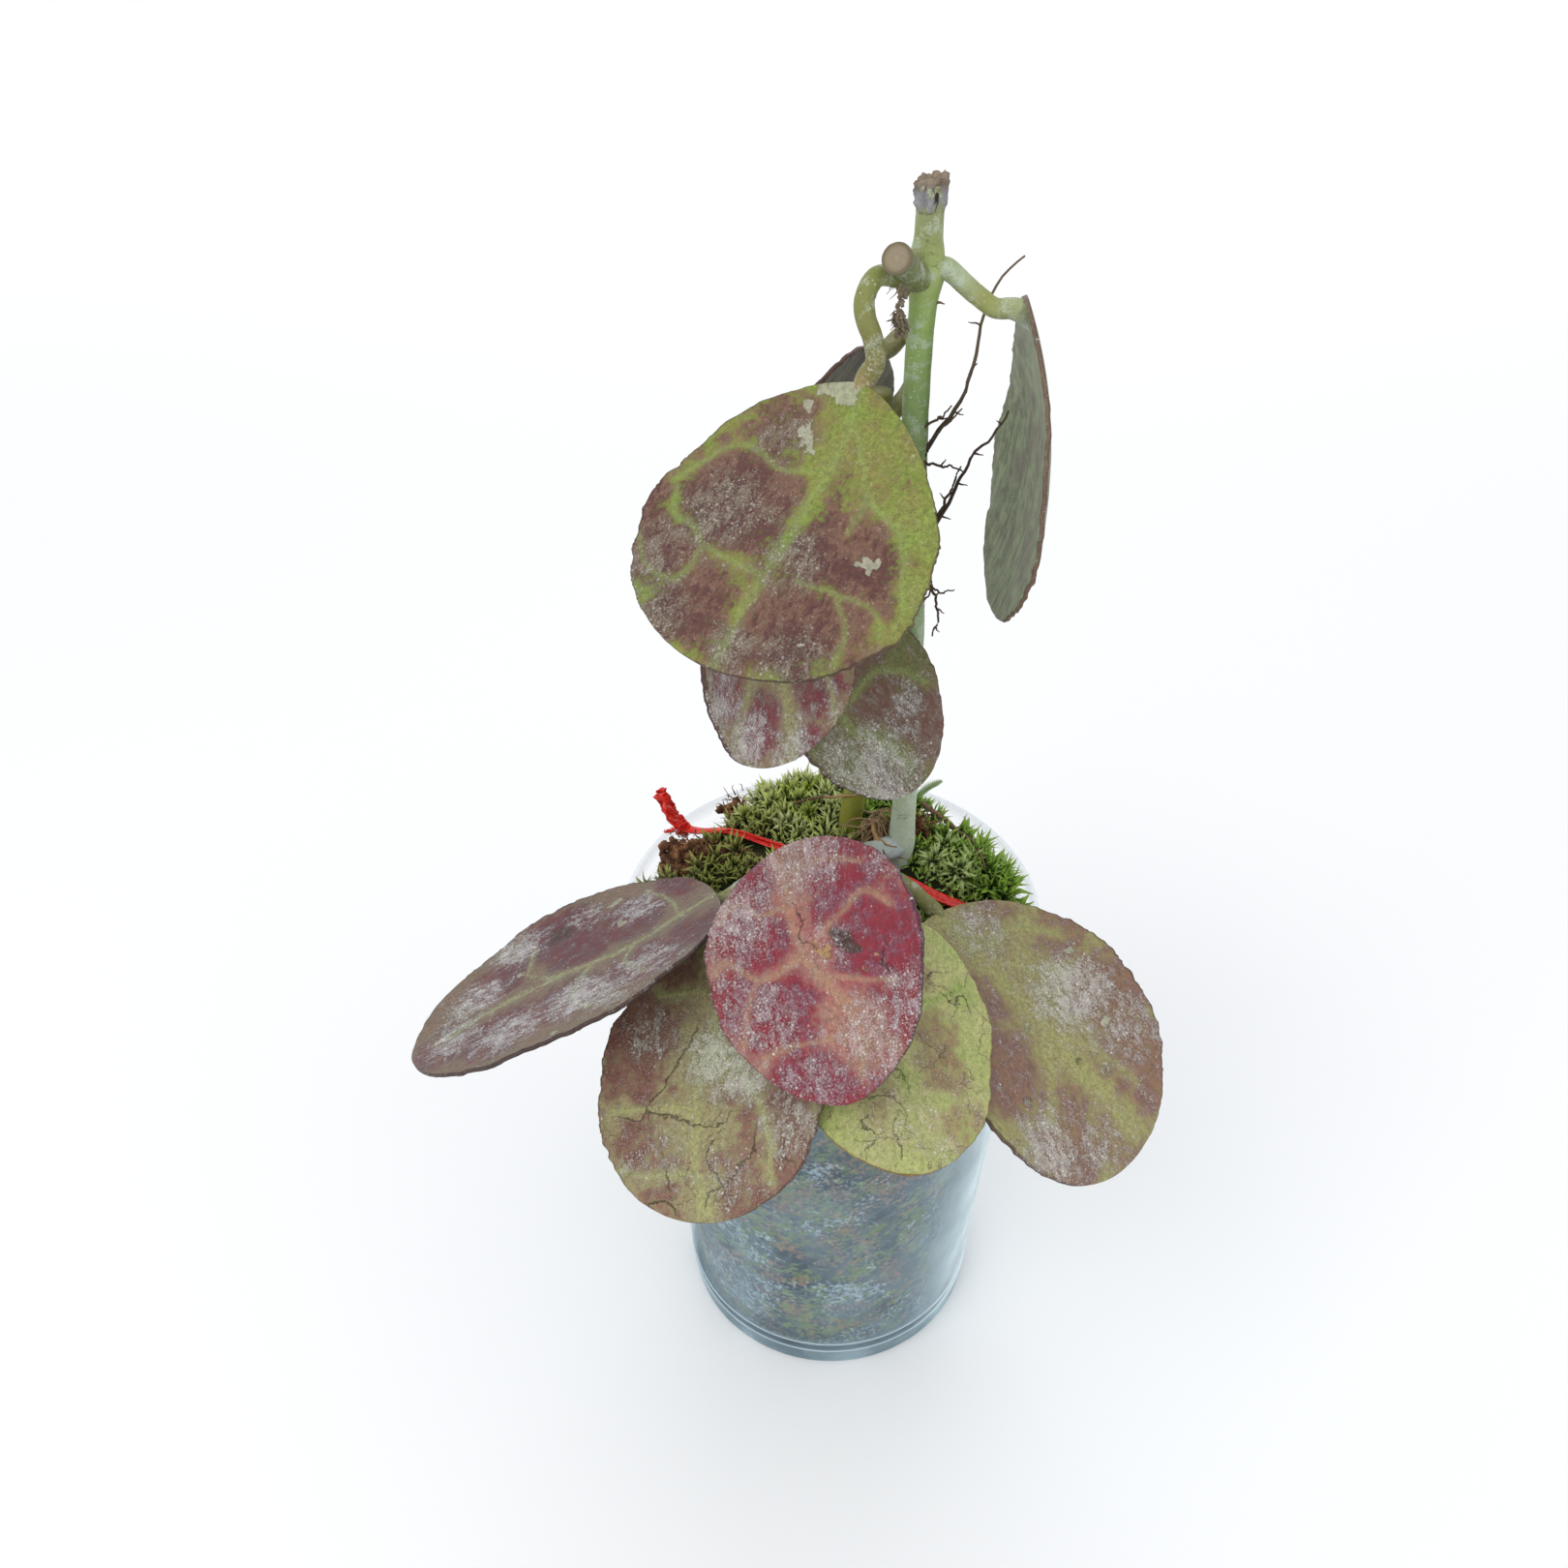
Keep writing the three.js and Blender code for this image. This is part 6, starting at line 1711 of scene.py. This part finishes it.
def raffia(course, rows, width, thickness, beside, above, twist, seed, sides=10):
    """A flat oval section, width by thickness, carried along a path that is moved sideways
    and up, and turned slowly by the twist and by noise."""
    path = smooth_path(course, rows)
    first, second = path_frames(path, (0.02, 0.05, 1.0))
    share = np.linspace(0, 1, rows)
    wander = (soft_noise(share * 9 + 20, share * 0 + seed, 1, seed) - 0.5)[:, None]
    path = path + second * (beside + 0.5 * wander) + first * (above + 0.25 * wander)
    angle = (twist * share * 2 * np.pi + 1.4 * wander[:, 0])[:, None]
    turn = around(sides)[None, :]
    pinch = 1 - 0.25 * soft_noise(share * 14 + 40, share * 0 + seed, 1, seed + 1)[:, None]
    flat = width / 2 * pinch * np.cos(turn)
    thick = thickness / 2 * np.sin(turn) * (1 + 0.5 * np.cos(3 * turn))
    sideways = flat * np.cos(angle) - thick * np.sin(angle)
    upwards = flat * np.sin(angle) + thick * np.cos(angle)
    points = path[:, None] + sideways[..., None] * second[:, None] + upwards[..., None] * first[:, None]
    return points.reshape(-1, 3), ring_faces(rows, sides)


def knot(centre, radius, axis, seed):
    """Four loops of strand, each a ring on its own tilt round the centre, with noise."""
    random = np.random.default_rng(seed)
    loops = []
    for number in range(4):
        tilt = unit(np.asarray(axis, float) + random.normal(0, 0.55, 3))
        side = unit(np.cross(tilt, [0.3, 0.5, 0.8]))
        turn = np.linspace(0.2, 2 * np.pi * 1.05, 15)[:, None]
        reach = radius * (0.5 + 0.16 * number) * (1 + 0.12 * random.normal(size=(15, 1)))
        ring = np.cos(turn) * side + np.sin(turn) * np.cross(tilt, side)
        loop = np.asarray(centre) + reach * ring + tilt * 0.25 * (number - 1.5)
        loops.append(raffia(loop.tolist(), 40, 1.6, 0.5, 0, 0, 0.3, seed + number, 8))
    return loops


def raffia_shaded_finish():
    """Glossy red film, with painted shade in long folds between strands lit by painted highlights, and
    broad soft painted highlights.
    """
    finish = Finish("red_raffia_shaded", Specular_IOR_Level=0.6)
    where = finish.place()
    folds_and_painted_light = finish.noise(where, 0.9, 3, 0.6, 0.3)
    wide_highlight = finish.noise(where, 3.5, 2, 0.5)
    # Painted shade in the folds and painted highlights on the strands between them, then broad soft
    # painted highlights.
    colour = finish.blend(folds_and_painted_light.between(0.35, 0.65), paint(196, 22, 16), paint(244, 56, 44))
    colour = finish.blend(wide_highlight.between(0.55, 0.75) * 0.5, colour, paint(240, 84, 66))
    return finish.set(colour=colour, roughness=0.3 + (folds_and_painted_light - 0.5) * 0.3, relief=folds_and_painted_light, height=0.15)


tie_course = over_moss(TIE_COURSE_PLAN, 1.5)
tie_left, tie_right = (-34.5, 24.3, 133.4), (40.2, -11.0, 132.6)
tie_course[0], tie_course[1], tie_course[-1] = tie_left, (-31, 22.5, 133.9), tie_right
# course, rows, width, thickness, beside, above, twist, seed
tie_strands = [raffia(tie_course, 120, width, 0.4, beside, above, 0.5, seed)
               for width, beside, above, seed in [
                   (1.5, -0.85, 0.0, 1), (1.6, -0.2, 0.3, 2), (1.5, 0.45, 0.05, 3),
                   (1.2, 0.95, 0.15, 4), (2.2, 0.1, -0.25, 5)]]
tie_strands += knot(tie_left, 1.9, (0.8, -0.4, 0.1), 10)
tie_strands += knot(tie_right, 1.9, (0.8, -0.4, -0.1), 20)
tail_course = [tie_left, (-36.4, 24.6, 136.6), (-37.6, 24.9, 140), (-38.6, 25.1, 142.6),
               (-39.2, 25.2, 144.2)]
tie_strands += [raffia(tail_course, 30, width, 0.35, beside, above, 0.2, seed)
                for width, beside, above, seed in [
                    (2.4, -0.9, 0.15, 31), (2.6, 0.5, 0.4, 32), (1.6, 1.4, 0.0, 33),
                    (4.0, 0.1, -0.35, 34)]]
tie_strands += [raffia(*row) for row in [
    ([tie_left, (-36.9, 23.6, 136), (-38.2, 23.4, 139.8)], 24, 1.1, 0.3, 0.2, 0, 0.15, 35),
    ([(-39.0, 25.2, 143.0), (-39.9, 25.0, 144.2), (-38.9, 24.9, 144.8), (-37.8, 24.8, 143.4)],
     24, 1.5, 0.4, 0, 0, 0.2, 36),
    ([(-36.0, 24.3, 133.8), (-37.6, 23.6, 133.2), (-38.9, 23.2, 133.6)],
     20, 1.1, 0.3, 0, 0, 0.1, 37)]]
tie_shape, tie_faces = grown(tie_strands)
make_piece("raffia_tie", tie_shape, tie_faces, raffia_shaded_finish(), ["tie_ribbon"])

# %% [markdown]
# ## Floor and light
#
# A pale floor and three large soft lights, as in a small studio. The floor is a wide disc.

# %% Floor and light
FLOOR_RADIUS = 4.0
FLOOR_SIDES = 64
FLOOR_DROP = 0.0002


def make_floor():
    """A flat disc with its centre under the cup. It glows faintly far from the plant, where
    the lamps don't reach, so that it stays white out to the picture's edge."""
    turn = around(FLOOR_SIDES)
    ring = np.stack([FLOOR_RADIUS * np.cos(turn), FLOOR_RADIUS * np.sin(turn),
                     np.full(FLOOR_SIDES, -FLOOR_DROP)], axis=1)
    mesh = bpy.data.meshes.new("floor")
    mesh.from_pydata(ring.tolist(), [], [list(range(FLOOR_SIDES))])
    finish = Finish("floor", Roughness=0.9, Base_Color=(0.92, 0.92, 0.92, 1.0), Emission_Strength=1.0)
    length = finish.node("ShaderNodeVectorMath", {"operation": "LENGTH"}, {0: finish.place()})
    far = Pattern(finish, length.outputs["Value"]).between(400.0, 1600.0)
    glow = finish.blend(far, (0.0, 0.0, 0.0), (0.24, 0.235, 0.23))
    finish.feed(finish.shader.inputs["Emission Color"], glow)
    mesh.materials.append(finish.material)
    floor = bpy.data.objects.new("floor", mesh)
    bpy.context.scene.collection.objects.link(floor)


def make_light(name, place, target, size, power):
    """A square area light that looks from its place to its target."""
    data = bpy.data.lights.new(name, "AREA")
    data.size, data.energy = size, power
    light = bpy.data.objects.new(name, data)
    away = unit(np.asarray(place, float) - np.asarray(target, float))
    side = unit(np.cross([0.0, 0.0, 1.0], away))
    matrix = np.eye(4)
    matrix[:3] = np.stack([side, np.cross(away, side), away, place], axis=1)
    light.matrix_world = Matrix(matrix.tolist())
    bpy.context.scene.collection.objects.link(light)


def make_world():
    """An even white surround."""
    world = bpy.data.worlds.new("studio")
    bpy.context.scene.world = world
    world.use_nodes = True
    background = world.node_tree.nodes["Background"]
    background.inputs["Color"].default_value = (0.95, 0.97, 1.0, 1.0)
    background.inputs["Strength"].default_value = 0.85


make_floor()
make_light("key", (-0.5, -0.55, 1.0), (0.0, 0.0, 0.18), 0.7, 4.2)
make_light("fill", (0.7, -0.5, 0.7), (0.0, 0.0, 0.15), 0.9, 1.2)
make_light("back", (0.1, 0.9, 0.8), (0.0, 0.0, 0.15), 0.8, 1.6)
make_world()
bpy.context.scene.view_settings.view_transform = "Standard"
